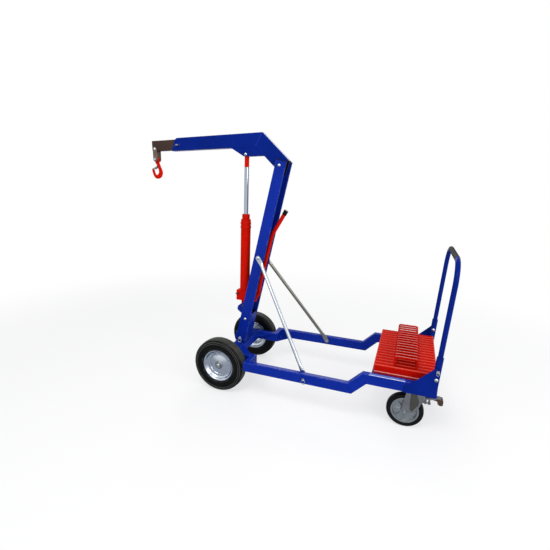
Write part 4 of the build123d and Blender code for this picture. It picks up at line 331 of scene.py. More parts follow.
def pick(piece: Piece) -> None:
    """Makes one object the only selected and active one.

    Args:
        piece: Object to pick.
    """
    bpy.ops.object.select_all(action="DESELECT")
    piece.select_set(True)
    bpy.context.view_layer.objects.active = piece


def edit(piece: Piece) -> None:
    """Opens one object in edit mode."""
    pick(piece)
    bpy.ops.object.mode_set(mode="EDIT")


def done() -> None:
    """Leaves edit mode."""
    bpy.ops.object.mode_set(mode="OBJECT")


def modify(piece: Piece, kind: str, **settings: Any) -> None:
    """Adds a modifier to a piece and applies it.

    Args:
        piece: Piece to change.
        kind: Modifier type.
        settings: Values of the modifier.
    """
    pick(piece)
    modifier = piece.modifiers.new(kind.lower(), kind)
    for name, value in settings.items():
        setattr(modifier, name, value)
    bpy.ops.object.modifier_apply(modifier=modifier.name)


def repeat(piece: Piece, count: int, step: Vector) -> None:
    """Repeats a piece in a straight row, with a step in metres from one to the next."""
    offsets = {"use_relative_offset": False, "use_constant_offset": True, "constant_offset_displace": step}
    modify(piece, "ARRAY", count=count, **offsets)


def mark_faces(piece: Piece, test: Callable[[bmesh.types.BMFace], bool]) -> None:
    """Notes faces for the finish's edge colour: wear where hands and loads rub, or a painted highlight.

    Args:
        piece: Object in edit mode.
        test: Says whether a face gets the edge colour.
    """
    mesh = bmesh.from_edit_mesh(piece.data)
    layer = mesh.faces.layers.float.get(EDGE_WEAR_OR_HIGHLIGHT) or mesh.faces.layers.float.new(EDGE_WEAR_OR_HIGHLIGHT)
    for face in mesh.faces:
        if test(face):
            face[layer] = 1.0
    bmesh.update_edit_mesh(piece.data)


def bevel(width: float, steps: int, clamp: bool = True) -> None:
    """Rounds the selected edges of a mesh in edit mode by a width in millimetres."""
    bpy.ops.mesh.bevel(offset=width * MM, segments=steps, profile=0.5, affect="EDGES", clamp_overlap=clamp)


def round_sharp(
    piece: Piece, width: float, steps: int = 2, sharp: float = SHARP, length: float = 0.0, clamp: bool = True
) -> None:
    """Bevels the sharp edges of a mesh in edit mode, and leaves the new faces selected.

    Args:
        piece: Object in edit mode.
        width: Width of the bevel, in millimetres.
        steps: Faces across it.
        sharp: Angle from which an edge counts as sharp, in degrees.
        length: Length that an edge has to reach, in millimetres.
        clamp: Whether the bevel stops short of overlaps.
    """
    mesh = bmesh.from_edit_mesh(piece.data)
    bpy.ops.mesh.select_all(action="DESELECT")
    bpy.ops.mesh.select_mode(type="EDGE")
    for edge in mesh.edges:
        folded = len(edge.link_faces) == 2 and edge.calc_face_angle(0.0) > radians(sharp)
        if folded and edge.calc_length() >= length * MM:
            edge.select_set(True)
    bmesh.update_edit_mesh(piece.data)
    bevel(width, steps, clamp)


def smooth_shade(piece: Piece, angle: float = SHARP) -> None:
    """Smooths the shading and keeps flat faces flat.

    Args:
        piece: Object to shade.
        angle: Angle up to which edges look smooth, in degrees.
    """
    pick(piece)
    bpy.ops.object.shade_smooth_by_angle(angle=radians(angle))
    modify(piece, "WEIGHTED_NORMAL", keep_sharp=True)


def dress(piece: Piece, finish: Finishes) -> None:
    """Gives a piece, or a node of the frame whose shape is right, its finish."""
    piece.data.materials.clear()
    piece.data.materials.append(finish.value.material())


def settle(piece: Piece, finish: Finishes, node: str, body: str = "", stands: bool = False) -> None:
    """Dresses a finished piece and joins it to the frame.

    Args:
        piece: Object with its place in its mesh.
        finish: Finish of the whole piece.
        node: Node of the frame that gives its body, unless another is named.
        body: Body that it rides on, if that isn't the node's own.
        stands: Whether it stands for the node.
    """
    dress(piece, finish)
    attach(piece, body or BODIES[node])
    if stands:
        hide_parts(node)
    LOG.info("%s: %d faces", piece.name, len(piece.data.polygons))


def rounded_node(node: str, finish: Finishes, edges: Edges) -> Piece:
    """Copies a node of the frame, rounds the copy's edges and shows it in the node's place.

    Args:
        node: Node of the frame.
        finish: Finish of the copy.
        edges: Rounding of the copy.

    Returns:
        The rounded piece.
    """
    piece = bpy.data.objects.new(f"{node}_rounded", frame["nodes"][node].data.copy())
    bpy.context.scene.collection.objects.link(piece)
    edit(piece)
    bpy.ops.mesh.select_all(action="SELECT")
    bpy.ops.mesh.remove_doubles(threshold=MERGE_GAP * MM)
    bpy.ops.mesh.dissolve_limited(angle_limit=radians(FLAT_ANGLE))
    if edges.fold > 0.0:
        round_sharp(piece, edges.fold, FOLD_STEPS, edges.sharp, edges.fold_from, clamp=False)
        mark_faces(piece, lambda face: face.select)
    round_sharp(piece, edges.small, edges.steps, edges.sharp, clamp=False)
    mark_faces(piece, lambda face: face.select)
    done()
    pick(piece)
    bpy.ops.mesh.customdata_custom_splitnormals_clear()
    smooth_shade(piece)
    settle(piece, finish, node, stands=True)
    return piece


def round_nodes(*rows: tuple[str, Finishes, float]) -> None:
    """Rounds nodes that have no long folds, each with its finish and its width of edge in millimetres."""
    for node, finish, small in rows:
        rounded_node(node, finish, Edges(small))


def chain(name: str, points: list[Vector]) -> Piece:
    """Starts a mesh as a chain of edges, and leaves it open in edit mode with all of it selected.

    Args:
        name: Name of the piece.
        points: Corners of the chain, in millimetres.

    Returns:
        The piece, in edit mode.
    """
    bpy.ops.mesh.primitive_plane_add(size=MM, location=ORIGIN)
    piece = bpy.context.object
    piece.name = name
    edit(piece)
    bpy.ops.mesh.select_mode(type="VERT")
    bpy.ops.mesh.select_all(action="SELECT")
    bpy.ops.mesh.merge(type="CENTER")
    corners = [point * MM for point in points]
    bpy.ops.transform.translate(value=corners[0])
    for start, end in zip(corners, corners[1:]):
        bpy.ops.mesh.extrude_region_move(TRANSFORM_OT_translate={"value": end - start})
    bpy.ops.mesh.select_all(action="SELECT")
    return piece


@dataclass(frozen=True)
class Block:
    """A small block with rounded edges, in millimetres, that may lean back about Y by some degrees."""

    name: str
    size: Point
    middle: Point
    small: float
    lean: float = 0.0

    def start(self) -> Piece:
        """Starts the block about the origin.

        Returns:
            The piece, in edit mode with all of it selected.
        """
        bpy.ops.mesh.primitive_cube_add(size=MM, location=ORIGIN)
        piece = bpy.context.object
        piece.name = self.name
        edit(piece)
        bpy.ops.mesh.select_all(action="SELECT")
        bpy.ops.transform.resize(value=self.size)
        return piece

    def set_down(self, piece: Piece) -> None:
        """Moves the block from the origin to its place.

        Args:
            piece: The block, in edit mode.
        """
        bpy.ops.mesh.select_all(action="SELECT")
        bpy.ops.transform.rotate(value=-radians(self.lean), orient_axis="Y", center_override=ORIGIN)
        bpy.ops.transform.translate(value=Vector(self.middle) * MM)
        done()
        smooth_shade(piece)

    def build(self) -> Piece:
        """Makes the whole block.

        Returns:
            The block, with its rounded edges marked for its finish's edge colour, a painted highlight on the
            weights.
        """
        piece = self.start()
        bevel(self.small, BLOCK_STEPS)
        mark_faces(piece, lambda face: max(abs(part) for part in face.normal) < SQUARE)
        self.set_down(piece)
        return piece


def upright(outline: Outline, y: float) -> list[Point]:
    """Stands an outline, along X and up, at a distance to the operator's right."""
    return [(x, y, z) for x, z in outline]


@dataclass(frozen=True)
class Panel:
    """A flat panel: its corners in order, its thickness as a move, and its rounding, in millimetres."""

    name: str
    corners: list[Point]
    push: Point
    small: float

    def build(self) -> Piece:
        """Fills the outline, thickens it and rounds its edges.

        Returns:
            The panel.
        """
        piece = chain(self.name, [Vector(corner) for corner in self.corners])
        bpy.ops.mesh.edge_face_add()
        bpy.ops.mesh.extrude_region_move(TRANSFORM_OT_translate={"value": Vector(self.push) * MM})
        bpy.ops.mesh.select_all(action="SELECT")
        bpy.ops.mesh.normals_make_consistent(inside=False)
        round_sharp(piece, self.small)
        done()
        smooth_shade(piece)
        return piece


@dataclass(frozen=True)
class Slope:
    """A sloping line to measure from: its start, along X and up, and the degrees that it climbs rearward."""

    origin: Pair
    angle: float

    def at(self, along: float, y: float, above: float) -> Point:
        """Works out a point.

        Args:
            along: Distance rearward along the slope.
            y: Distance to the operator's right.
            above: Distance square to the slope.

        Returns:
            The point in the crane's frame.
        """
        a = radians(self.angle)
        x, z = self.origin
        return (x + along * cos(a) - above * sin(a), y, z + along * sin(a) + above * cos(a))


@dataclass(frozen=True)
class Turning:
    """A turned piece: corners of its section, along the axis and out from it, in millimetres."""

    name: str
    section: Outline
    centre: Point
    axis: Point = (0.0, 1.0, 0.0)
    steps: int = 64
    sheet: float = 0.0
    small: float = 0.0
    sharp: float = 35.0

    def build(self) -> Piece:
        """Spins the section about the axis.

        Returns:
            The turned piece.
        """
        along = Vector(self.axis).normalized()
        out = along.orthogonal().normalized()
        centre = Vector(self.centre)
        piece = chain(self.name, [centre + along * t + out * r for t, r in self.section])
        bpy.ops.mesh.spin(steps=self.steps, angle=2.0 * pi, center=centre * MM, axis=along)
        bpy.ops.mesh.select_all(action="SELECT")
        bpy.ops.mesh.remove_doubles(threshold=SEAM_GAP * MM)
        bpy.ops.mesh.normals_make_consistent(inside=False)
        if self.small > 0.0:
            round_sharp(piece, self.small, sharp=self.sharp)
            mark_faces(piece, lambda face: face.select)
        done()
        if self.sheet > 0.0:
            modify(piece, "SOLIDIFY", thickness=self.sheet * MM, offset=-1.0)
        smooth_shade(piece)
        return piece


@dataclass(frozen=True)
class Bead:
    """A straight weld bead between two points, in millimetres."""

    start: Point
    end: Point
    radius: float


def lay_beads(name: str, beads: list[Bead], finish: Finishes, node: str) -> None:
    """Lays rippled weld beads and joins them into one piece.

    Args:
        name: Name of the joined piece.
        beads: The beads to lay.
        finish: Paint over the weld.
        node: Node of the frame that they lie on.
    """
    laid = []
    for bead in beads:
        start = Vector(bead.start)
        run = Vector(bead.end) - start
        count = max(2, round(run.length / (RIPPLE_STEP * bead.radius)))
        ball = {"segments": 8, "ring_count": 6, "radius": bead.radius * MM}
        bpy.ops.mesh.primitive_uv_sphere_add(location=ORIGIN, **ball)
        ripple = bpy.context.object
        edit(ripple)
        bpy.ops.mesh.select_all(action="SELECT")
        bpy.ops.transform.translate(value=start * MM)
        done()
        repeat(ripple, count, run * (MM / (count - 1)))
        laid.append(ripple)
    bpy.ops.object.select_all(action="DESELECT")
    for ripple in laid:
        ripple.select_set(True)
    bpy.context.view_layer.objects.active = laid[0]
    bpy.ops.object.join()
    piece = bpy.context.object
    piece.name = name
    smooth_shade(piece, ROUND)
    settle(piece, finish, node)


class SubAssembly:
    """A group of pieces that are built together."""

    def build(self) -> None:
        """Builds and dresses every piece of the group."""
        raise NotImplementedError


@dataclass
class BaseFrame(SubAssembly):
    """Crossbeam, side rails, axle and counterweight tray."""

    tube_corner: float = 5.0
    rail_top: float = 274.0
    rail_bottom: float = 204.0
    rail_rise: float = 90.0
    outer: float = 370.3
    stub_end: float = 209.5
    stub_outer: float = 252.5
    stub_inner: float = 211.5
    beam_faces: Pair = (88.5, -12.5)
    kinks: Outline = ((952.5, 981.5), (1042.5, 1071.5))
    weld_inset: float = 4.0
    foot_inset: float = 14.0
    kink_bead: float = 1.1
    corner_bead: float = 2.2
    gusset: Outline = ((87, 213), (196, 213), (196, 205), (96, 104), (87, 104))
    gusset_height: float = 262.0
    gusset_sheet: float = 6.0
    # Pale strip and bright bead on the rails' tops: a painted reflection and a painted highlight.
    shine_ends: Pair = (1085.0, 1296.0)
    shine_middle: float = 355.0
    shine_width: float = 18.0
    shine_sheet: float = 0.8
    edge_inset: float = 2.6
    edge_drop: float = 2.0
    edge_radius: float = 2.4

    def build(self) -> None:
        """Rounds the tubes and plates of the base, lays their welds, paints a reflection and a highlight on
        the rails' tops, and adds gussets.
        """
        tube = Edges(small=1.2, fold=self.tube_corner, fold_from=95.0)
        for name, _ in SIDES:
            rounded_node(f"{name}_side_rail", Finishes.RAIL_BLUE, tube)
        rounded_node("front_crossbeam", Finishes.BLUE, tube)
        round_nodes(("counterweight_tray", Finishes.BLUE, 1.2), ("front_axle", Finishes.DARK_STEEL, 0.8))
        dress(frame["nodes"]["axle_caps"], Finishes.ZINC)
        lay_beads("frame_welds", self.beads(), Finishes.BLUE, "front_crossbeam")
        self.paint_rail_top_shine()
        self.corner_gussets()

    def corner_gussets(self) -> None:
        """Fills the corners behind the crossbeam with flat gusset plates."""
        for name, side in SIDES:
            corners = [(x, side * y, self.gusset_height) for x, y in self.gusset]
            plate = Panel(f"{name}_corner_gusset", corners, (0.0, 0.0, self.gusset_sheet), small=1.0)
            settle(plate.build(), Finishes.BLUE, "front_crossbeam")

    def paint_rail_top_shine(self) -> None:
        """Lays a pale strip on the rails' tops beside the weights as a painted reflection, and a bright bead
        along the outer edge as a painted highlight.
        """
        top = self.rail_top + self.rail_rise
        start, end = self.shine_ends
        size = (end - start, self.shine_width, self.shine_sheet)
        edges = []
        for name, side in SIDES:
            middle = ((start + end) / 2, side * self.shine_middle, top)
            shine = Block(f"{name}_rail_scuff", size, middle, small=0.2)
            settle(shine.build(), Finishes.SCUFFED_BLUE, f"{name}_side_rail")
            y = side * (self.outer - self.edge_inset)
            z = top - self.edge_drop
            edges.append(Bead((start, y, z), (end, y, z), self.edge_radius))
        lay_beads("rail_edge_scuffs", edges, Finishes.SCUFFED_EDGE, "left_side_rail")

    def beads(self) -> list[Bead]:
        """Lists the welds of the base.

        Returns:
            Beads at the mitred kinks, the stubs and the crossbeam, on both sides.
        """
        low = self.rail_bottom + self.weld_inset
        high = self.rail_top - self.weld_inset
        foot = self.rail_bottom + self.foot_inset
        found = []
        for _, side in SIDES:
            y = side * self.outer
            for number, (upper, lower) in enumerate(self.kinks):
                lift = number * self.rail_rise
                found.append(Bead((upper, y, high + lift), (lower, y, low + lift), self.kink_bead))
            y = side * self.stub_outer
            found.append(Bead((self.stub_end, y, low), (self.stub_end, y, high), self.corner_bead))
            y = side * self.stub_inner
            for x in self.beam_faces:
                found.append(Bead((x, y, foot), (x, y, high), self.corner_bead))
        return found


@dataclass
class FrontWheel(SubAssembly):
    """A pneumatic wheel with a pressed rim. Sections run along the axle and out from it."""

    name: str
    side: int
    offset: float = 320.0
    radius: float = 200.0
    rim_sheet: float = 2.4
    groove_depth: float = 6.5
    carcass_gap: float = 2.0
    grooves: Pair = (23.0, 7.7)
    groove_width: float = 7.6
    crown: float = 0.0035
    tread_half: float = 33.0
    tread_base: float = 188.0
    side_wall: Outline = (
        (36, 113), (40.5, 121), (43.6, 125), (45.4, 126.4), (45.4, 129.8), (44.6, 131.4),
        (46.6, 138), (48.2, 145), (49.2, 149.6), (49.9, 151), (49.9, 154.6), (49.1, 156.2),
        (49.2, 163), (48.6, 169.4), (49.2, 170.8), (48.9, 174.4), (47.6, 176), (45.8, 182),
        (43, 187.6), (40.4, 190.4), (39.4, 193.6), (36, 196.2), (32, 197.6),
    )
    wall_rings: tuple[Outline, ...] = (
        ((48.2, 167.6), (50, 168.4), (49.8, 172.4), (48, 173.4), (48.2, 167.6)),
        ((45, 180.2), (47, 180.8), (45.4, 185), (43.4, 185.6), (45, 180.2)),
    )
    liner: Outline = ((26, 113), (36, 131), (41, 152), (37, 174), (24, 184))
    dish: Outline = (
        (26.4, 30), (25.8, 35), (22.4, 50), (17, 70), (15, 75.4), (15.4, 77.6), (17.2, 79),
        (17.4, 81), (17, 92), (17.2, 95), (19.6, 99.6), (24, 103), (31, 107.4), (37.6, 110.8),
        (40.2, 113.4), (41.2, 116.6), (40.8, 119.4), (38.8, 120.4), (37, 118.6),
    )
    back: Outline = (
        (15, 97), (-16, 97), (-24, 109), (-36, 111), (-40.4, 113.6), (-41.2, 117),
        (-40.4, 120), (-37.4, 119.4),
    )
    hub: Outline = (
        (-48, 13), (-48, 29), (-44, 31), (26.6, 31), (29.6, 29.4), (32, 26.8), (32.4, 24.8),
        (32, 20), (30.4, 16.4), (30.2, 15.2), (29.4, 13), (-48, 13),
    )
    stem: Outline = (
        (0, 0.4), (0, 7), (3, 6.6), (6, 4.6), (19, 4), (20, 4.8), (29, 4.8), (30.4, 4),
        (30.4, 0.4),
    )
    stem_root: float = 15.0
    stem_ring: float = 88.0
    stem_clock: float = 120.0
    stem_lean: Pair = (0.97, -0.2)
    stand_ins: tuple[str, ...] = ("ribbed_tyre", "rim_dish", "hub_body")

    def build(self) -> None:
        """Builds the tyre, rim, hub and valve and dresses the rim's bolts."""
        self.turn("ribbed_tyre", self.tyre_section(), Finishes.TYRE, "tyre", steps=96, small=1.1)
        for number, section in enumerate(self.tread_ribs()):
            self.turn(f"tread_rib_{number}", section, Finishes.TREAD, "tyre", steps=96, small=0.7)
        for number, section in enumerate(self.wall_rings):
            self.turn(f"wall_ring_{number}", section, Finishes.WALL_RING, "tyre", steps=96, small=0.3)
        self.turn("rim_dish", self.dish, Finishes.RIM_ZINC, "rim", steps=80, sheet=self.rim_sheet)
        self.turn("rim_back", self.back, Finishes.RIM_ZINC, "rim", steps=80, sheet=self.rim_sheet)
        self.turn("hub_body", self.hub, Finishes.DULL_ZINC, "hub", steps=48, small=0.5)
        self.valve()
        round_nodes((f"{self.name}_rim_bolts", Finishes.ZINC, 0.6))

    def turn(self, name: str, section: Outline, finish: Finishes, part: str, **how: Any) -> None:
        """Turns one piece of the wheel.

        Args:
            name: Name of the piece, without the wheel's side.
            section: Section of the piece.
            finish: Its finish.
            part: Part of the wheel that it belongs to.
            how: Further values of the turning.
        """
        centre = (0.0, self.side * self.offset, self.radius)
        piece = Turning(f"{self.name}_{name}", section, centre, (0.0, float(self.side), 0.0), **how).build()
        settle(piece, finish, f"{self.name}_front_{part}", stands=name in self.stand_ins)

    def tyre_section(self) -> Outline:
        """Works out the section of a tyre's wall and carcass, under its tread.

        Returns:
            A closed section.
        """
        half = list(self.side_wall)
        half.append((self.tread_half, self.radius - self.groove_depth - self.carcass_gap))
        mirror = [(-t, r) for t, r in reversed(half)]
        inner = [(-t, r) for t, r in self.liner] + list(reversed(self.liner))
        return tuple(half + mirror + inner + half[:1])

    def tread_ribs(self) -> list[Outline]:
        """Works out the sections of the ribs between the tread's grooves.

        Returns:
            Closed sections.
        """
        wide = self.groove_width / 2
        walls = [self.tread_half] + [edge for at in self.grooves for edge in (at + wide, at - wide)]
        walls += [-edge for edge in reversed(walls)]
        ribs = []
        for high, low in zip(walls[::2], walls[1::2]):
            foot = ((low, self.tread_base), (high, self.tread_base))
            crown = ((high, self.tread_height(high)), (low, self.tread_height(low)))
            ribs.append(foot[1:] + crown + foot)
        return ribs

    def tread_height(self, t: float) -> float:
        """Radius of the tread's crown at a distance from the tyre's middle."""
        return self.radius - self.crown * t * t

    def valve(self) -> None:
        """Stands the inflation valve on the rim."""
        clock = radians(self.stem_clock)
        y = self.side * (self.offset + self.stem_root)
        root = (self.stem_ring * cos(clock), y, self.radius + self.stem_ring * sin(clock))
        axis = (0.0, self.side * self.stem_lean[0], self.stem_lean[1])
        stem = Turning(f"{self.name}_valve", self.stem, root, axis, steps=20)
        settle(stem.build(), Finishes.ZINC, f"{self.name}_rim_bolts")


@dataclass
class MastAndTies(SubAssembly):
    """Mast, its post, and the tie rods with their pins. The mast's own sizes run along its slope."""

    slope: Slope = Slope((-2.2, 300.0), -12.9)
    half_width: float = 65.0
    depth: float = 82.0
    top: float = 1422.0
    # Black strips on the mast's tops: painted shade.
    shade_strip_width: float = 7.5
    shade_strip_height: float = 6.0
    shade_strip_lip: float = 0.8
    lug: float = 28.0
    lug_ends: Pair = (216.0, 300.0)
    lug_skin: float = -0.5
    post: Pair = (4.0, 76.0)
    post_side: float = 59.0
    post_rear: Pair = (76.5, 56.0)
    post_foot: float = 275.0
    bead: float = 2.2
    side_bead: float = 2.0

    def build(self) -> None:
        """Rounds the mast's folds and dresses the rods and pins."""
        rounded_node("mast", Finishes.RAIL_BLUE, Edges(fold=7.0, fold_from=400.0))
        rounded_node("mast_post", Finishes.RAIL_BLUE, Edges(fold=4.0, fold_from=120.0))
        round_nodes(
            ("left_tie_rod", Finishes.ZINC, 0.8),
            ("right_tie_rod", Finishes.OLIVE_ZINC, 0.8),
            ("tie_rod_fasteners", Finishes.ZINC, 0.6),
            ("mast_lock_pin", Finishes.PIN_ZINC, 0.6),
            ("mast_bolts", Finishes.BOLT_ZINC, 0.8),
        )
        lay_beads("mast_welds", self.beads(), Finishes.WELD_BLUE, "mast")
        self.lay_mast_shade_strips()

    def beads(self) -> list[Bead]:
        """Lists the welds of the ram's lugs and of the post's foot.

        Returns:
            The beads.
        """
        rear, half = self.post_rear
        z = self.post_foot
        found = [Bead((rear, -half, z), (rear, half, z), self.bead)]
        for _, side in SIDES:
            low, high = (self.slope.at(self.lug_skin, side * self.lug, end) for end in self.lug_ends)
            found.append(Bead(low, high, self.bead))
            front, back = ((x, side * self.post_side, z) for x in self.post)
            found.append(Bead(front, back, self.side_bead))
        return found

    def lay_mast_shade_strips(self) -> None:
        """Lays black strips on the cut tops of the mast's two sides, as painted shade at the gap under the
        boom.
        """
        size = (self.depth, self.shade_strip_width, self.shade_strip_height)
        height = self.top - self.shade_strip_height / 2 + self.shade_strip_lip
        for name, side in SIDES:
            y = side * (self.half_width - self.shade_strip_width / 2 + self.shade_strip_lip)
            middle = self.slope.at(self.depth / 2, y, height)
            shade_strip = Block(f"{name}_mast_edging", size, middle, 0.8, -self.slope.angle)
            settle(shade_strip.build(), Finishes.BLACK_CAP, "mast")


@dataclass
class BoomAndHook(SubAssembly):
    """Boom, extension, link and hook."""

    slope: Slope = Slope((0.0, 1815.0), 1.6)
    seams: tuple[tuple[Pair, Pair], ...] = (
        ((195, 44), (143.5, -44)),
        ((-50, -47.5), (141, -47.5)),
        ((142, -48.5), (203, -109)),
    )
    bead: float = 1.5
    side: float = 27.2
    tail: Pair = (357.5, -188.0)
    tail_slope: float = 45.0
    tail_size: Point = (3.0, 53.4, 105.4)
    tail_rim: float = 5.0
    tail_step: float = 1.0
    tail_dish: float = 1.6
    # Outline of the black sheet behind the boom's tail: painted shade.
    shade_sheet: Outline = (
        (366, 1650), (398, 1674), (406, 1668), (389, 1619), (370, 1568), (362, 1572),
    )
    shade_sheet_thickness: float = 3.0
    hook_grain: float = 1.7

    def build(self) -> None:
        """Rounds the boom's tubes, dresses the hook and closes the boom's tail."""
        rounded_node("boom", Finishes.DEEP_BLUE, Edges(fold=5.0, fold_from=200.0))
        rounded_node("boom_extension", Finishes.MILL_SCALE, Edges(small=0.8, fold=4.0, fold_from=300.0))
        round_nodes(
            ("boom_clamp_screw", Finishes.DULL_ZINC, 0.8),
            ("link_plates", Finishes.FLAT_BAR, 0.8),
            ("link_top_bolt", Finishes.ZINC, 0.8),
            ("link_bottom_bolt", Finishes.ZINC, 0.8),
        )
        self.forged_hook()
        round_nodes(("hook_latch", Finishes.DULL_ZINC, 0.5))
        dress(frame["nodes"]["latch_spring"], Finishes.DARK_STEEL)
        lay_beads("elbow_welds", self.beads(self.seams[:1]), Finishes.WELD_BLUE, "boom")
        lay_beads("gusset_welds", self.beads(self.seams[1:]), Finishes.DEEP_BLUE, "boom")
        self.tail_plug()
        self.tail_painted_shade()

    def beads(self, seams: tuple[tuple[Pair, Pair], ...]) -> list[Bead]:
        """Sets out weld beads on both sides of the boom.

        Args:
            seams: Ends of each seam, along the boom and above its middle line.

        Returns:
            The beads.
        """
        found = []
        for _, side in SIDES:
            for seam in seams:
                start, end = (self.slope.at(along, side * self.side, above) for along, above in seam)
                found.append(Bead(start, end, self.bead))
        return found

    def tail_painted_shade(self) -> None:
        """Hangs a black sheet in the slot behind the boom's tail, as painted shade there."""
        corners = upright(self.shade_sheet, -self.side)
        shade_sheet = Panel("boom_tail_flap", corners, (0.0, -self.shade_sheet_thickness, 0.0), small=0.8)
        settle(shade_sheet.build(), Finishes.BLACK_CAP, "lever_grip", "boom")

    def forged_hook(self) -> None:
        """Rounds the hook all over, as a forging is."""
        hook = rounded_node("hook", Finishes.RED, Edges(small=6.5, steps=4))
        modify(hook, "REMESH", mode="VOXEL", voxel_size=self.hook_grain * MM)
        modify(hook, "SMOOTH", factor=0.5, iterations=8)
        bpy.ops.object.shade_smooth()

    def tail_plug(self) -> None:
        """Closes the boom's tail with a black moulded plug, dished in the middle."""
        middle = self.slope.at(self.tail[0], 0.0, self.tail[1])
        shape = Block("boom_tail_plug", self.tail_size, middle, 0.6, self.tail_slope - self.slope.angle)
        plug = shape.start()
        mesh = bmesh.from_edit_mesh(plug.data)
        for face in mesh.faces:
            face.select_set(face.normal.x > 0.9)
        bmesh.update_edit_mesh(plug.data)
        bpy.ops.mesh.inset(thickness=self.tail_rim * MM, depth=0.0)
        bpy.ops.mesh.inset(thickness=self.tail_step * MM, depth=-self.tail_dish * MM)
        round_sharp(plug, shape.small)
        shape.set_down(plug)
        settle(plug, Finishes.BLACK_CAP, "lever_grip", "boom")


@dataclass
class RamAndPump(SubAssembly):
    """Hydraulic ram with its hand pump."""

    def build(self) -> None:
        """Dresses the ram and the pump."""
        round_nodes(("ram_barrel", Finishes.RED, 1.6), ("ram_gland", Finishes.RED, 1.2))
        dress(frame["nodes"]["ram_rod"], Finishes.CHROME)
        round_nodes(
            ("ram_rod_end", Finishes.RED, 1.5),
            ("ram_head_bolt", Finishes.BOLT_ZINC, 0.8),
            ("ram_foot_pin", Finishes.DARK_STEEL, 0.8),
        )
        rounded_node("pump_block", Finishes.RED, Edges(small=2.0, steps=3))
        round_nodes(
            ("pump_plunger", Finishes.ZINC, 0.5),
            ("release_valve", Finishes.DARK_STEEL, 0.6),
            ("pump_lever", Finishes.RED, 1.0),
            ("lever_grip", Finishes.BLACK_CAP, 1.5),
        )


@dataclass
class WeightStack(SubAssembly):
    """Fifteen cast plates with loop handles."""

    count: int = 15
    pitch: float = 42.6
    size: Point = (372.0, 41.0, 120.0)
    middle: Pair = (1288.0, 360.0)
    corner: float = 6.0
    loop_ends: Pair = (1220.0, 1361.0)
    loop_rise: float = 70.0
    loop_radius: float = 6.8
    loop_corner: float = 16.0
    loop_root: float = 2.0
    bend_steps: int = 4
    # Loop faces that face up more than this get a painted highlight.
    highlight_rise: float = 0.75
    sill: Point = (128.0, 13.0, 14.0)
    sill_corner: float = 4.0
    rib: Point = (360.0, 10.0, 9.0)
    rib_corner: float = 3.5
    rib_sink: float = 1.0
    rib_height: float = 371.0

    def build(self) -> None:
        """Casts one plate with its handle, sets out the row, and runs a foot rib along both ends."""
        first = -self.pitch * (self.count - 1) / 2
        x, z = self.middle
        top = z + self.size[2] / 2
        plate = Block("weight_plate", self.size, (x, first, z), self.corner).build()
        middle = (sum(self.loop_ends) / 2, first, top)
        sill = Block("weight_sill", self.sill, middle, self.sill_corner).build()
        loop = self.loop(first, top)
        for piece in (plate, sill, loop):
            repeat(piece, self.count, Vector((0.0, self.pitch * MM, 0.0)))
        settle(plate, Finishes.CAST_RED, "counterweights", stands=True)
        settle(sill, Finishes.SILL_RED, "counterweights")
        settle(loop, Finishes.RIB_RED, "counterweights")
        for name, side in SIDES:
            face = side * (self.size[1] / 2 - first - self.rib_sink)
            rib = Block(f"{name}_foot_rib", self.rib, (x, face, self.rib_height), self.rib_corner)
            settle(rib.build(), Finishes.RIB_RED, "counterweights")

    def loop(self, y: float, base: float) -> Piece:
        """Bends a loop handle: up one leg, across and down the other.

        Args:
            y: Middle of the plate.
            base: Top of the plate.

        Returns:
            The loop, with its top marked for a painted highlight.
        """
        front = self.loop_ends[0] + self.loop_radius
        rear = self.loop_ends[1] - self.loop_radius
        high = base + self.loop_rise - self.loop_radius
        bend = self.loop_corner - self.loop_radius
        path = [Vector((front, y, base - self.loop_root))]
        for x, start in ((front + bend, 180.0), (rear - bend, 90.0)):
            for step in range(self.bend_steps + 1):
                a = radians(start - 90.0 * step / self.bend_steps)
                path.append(Vector((x + bend * cos(a), y, high - bend + bend * sin(a))))
        path.append(Vector((rear, y, base - self.loop_root)))
        loop = chain("weight_loop", path)
        done()
        bpy.ops.object.convert(target="CURVE")
        loop.data.bevel_depth = self.loop_radius * MM
        loop.data.bevel_resolution = 4
        bpy.ops.object.convert(target="MESH")
        loop = bpy.context.object
        smooth_shade(loop, ROUND)
        edit(loop)
        mark_faces(loop, lambda face: face.normal.z > self.highlight_rise)
        done()
        return loop


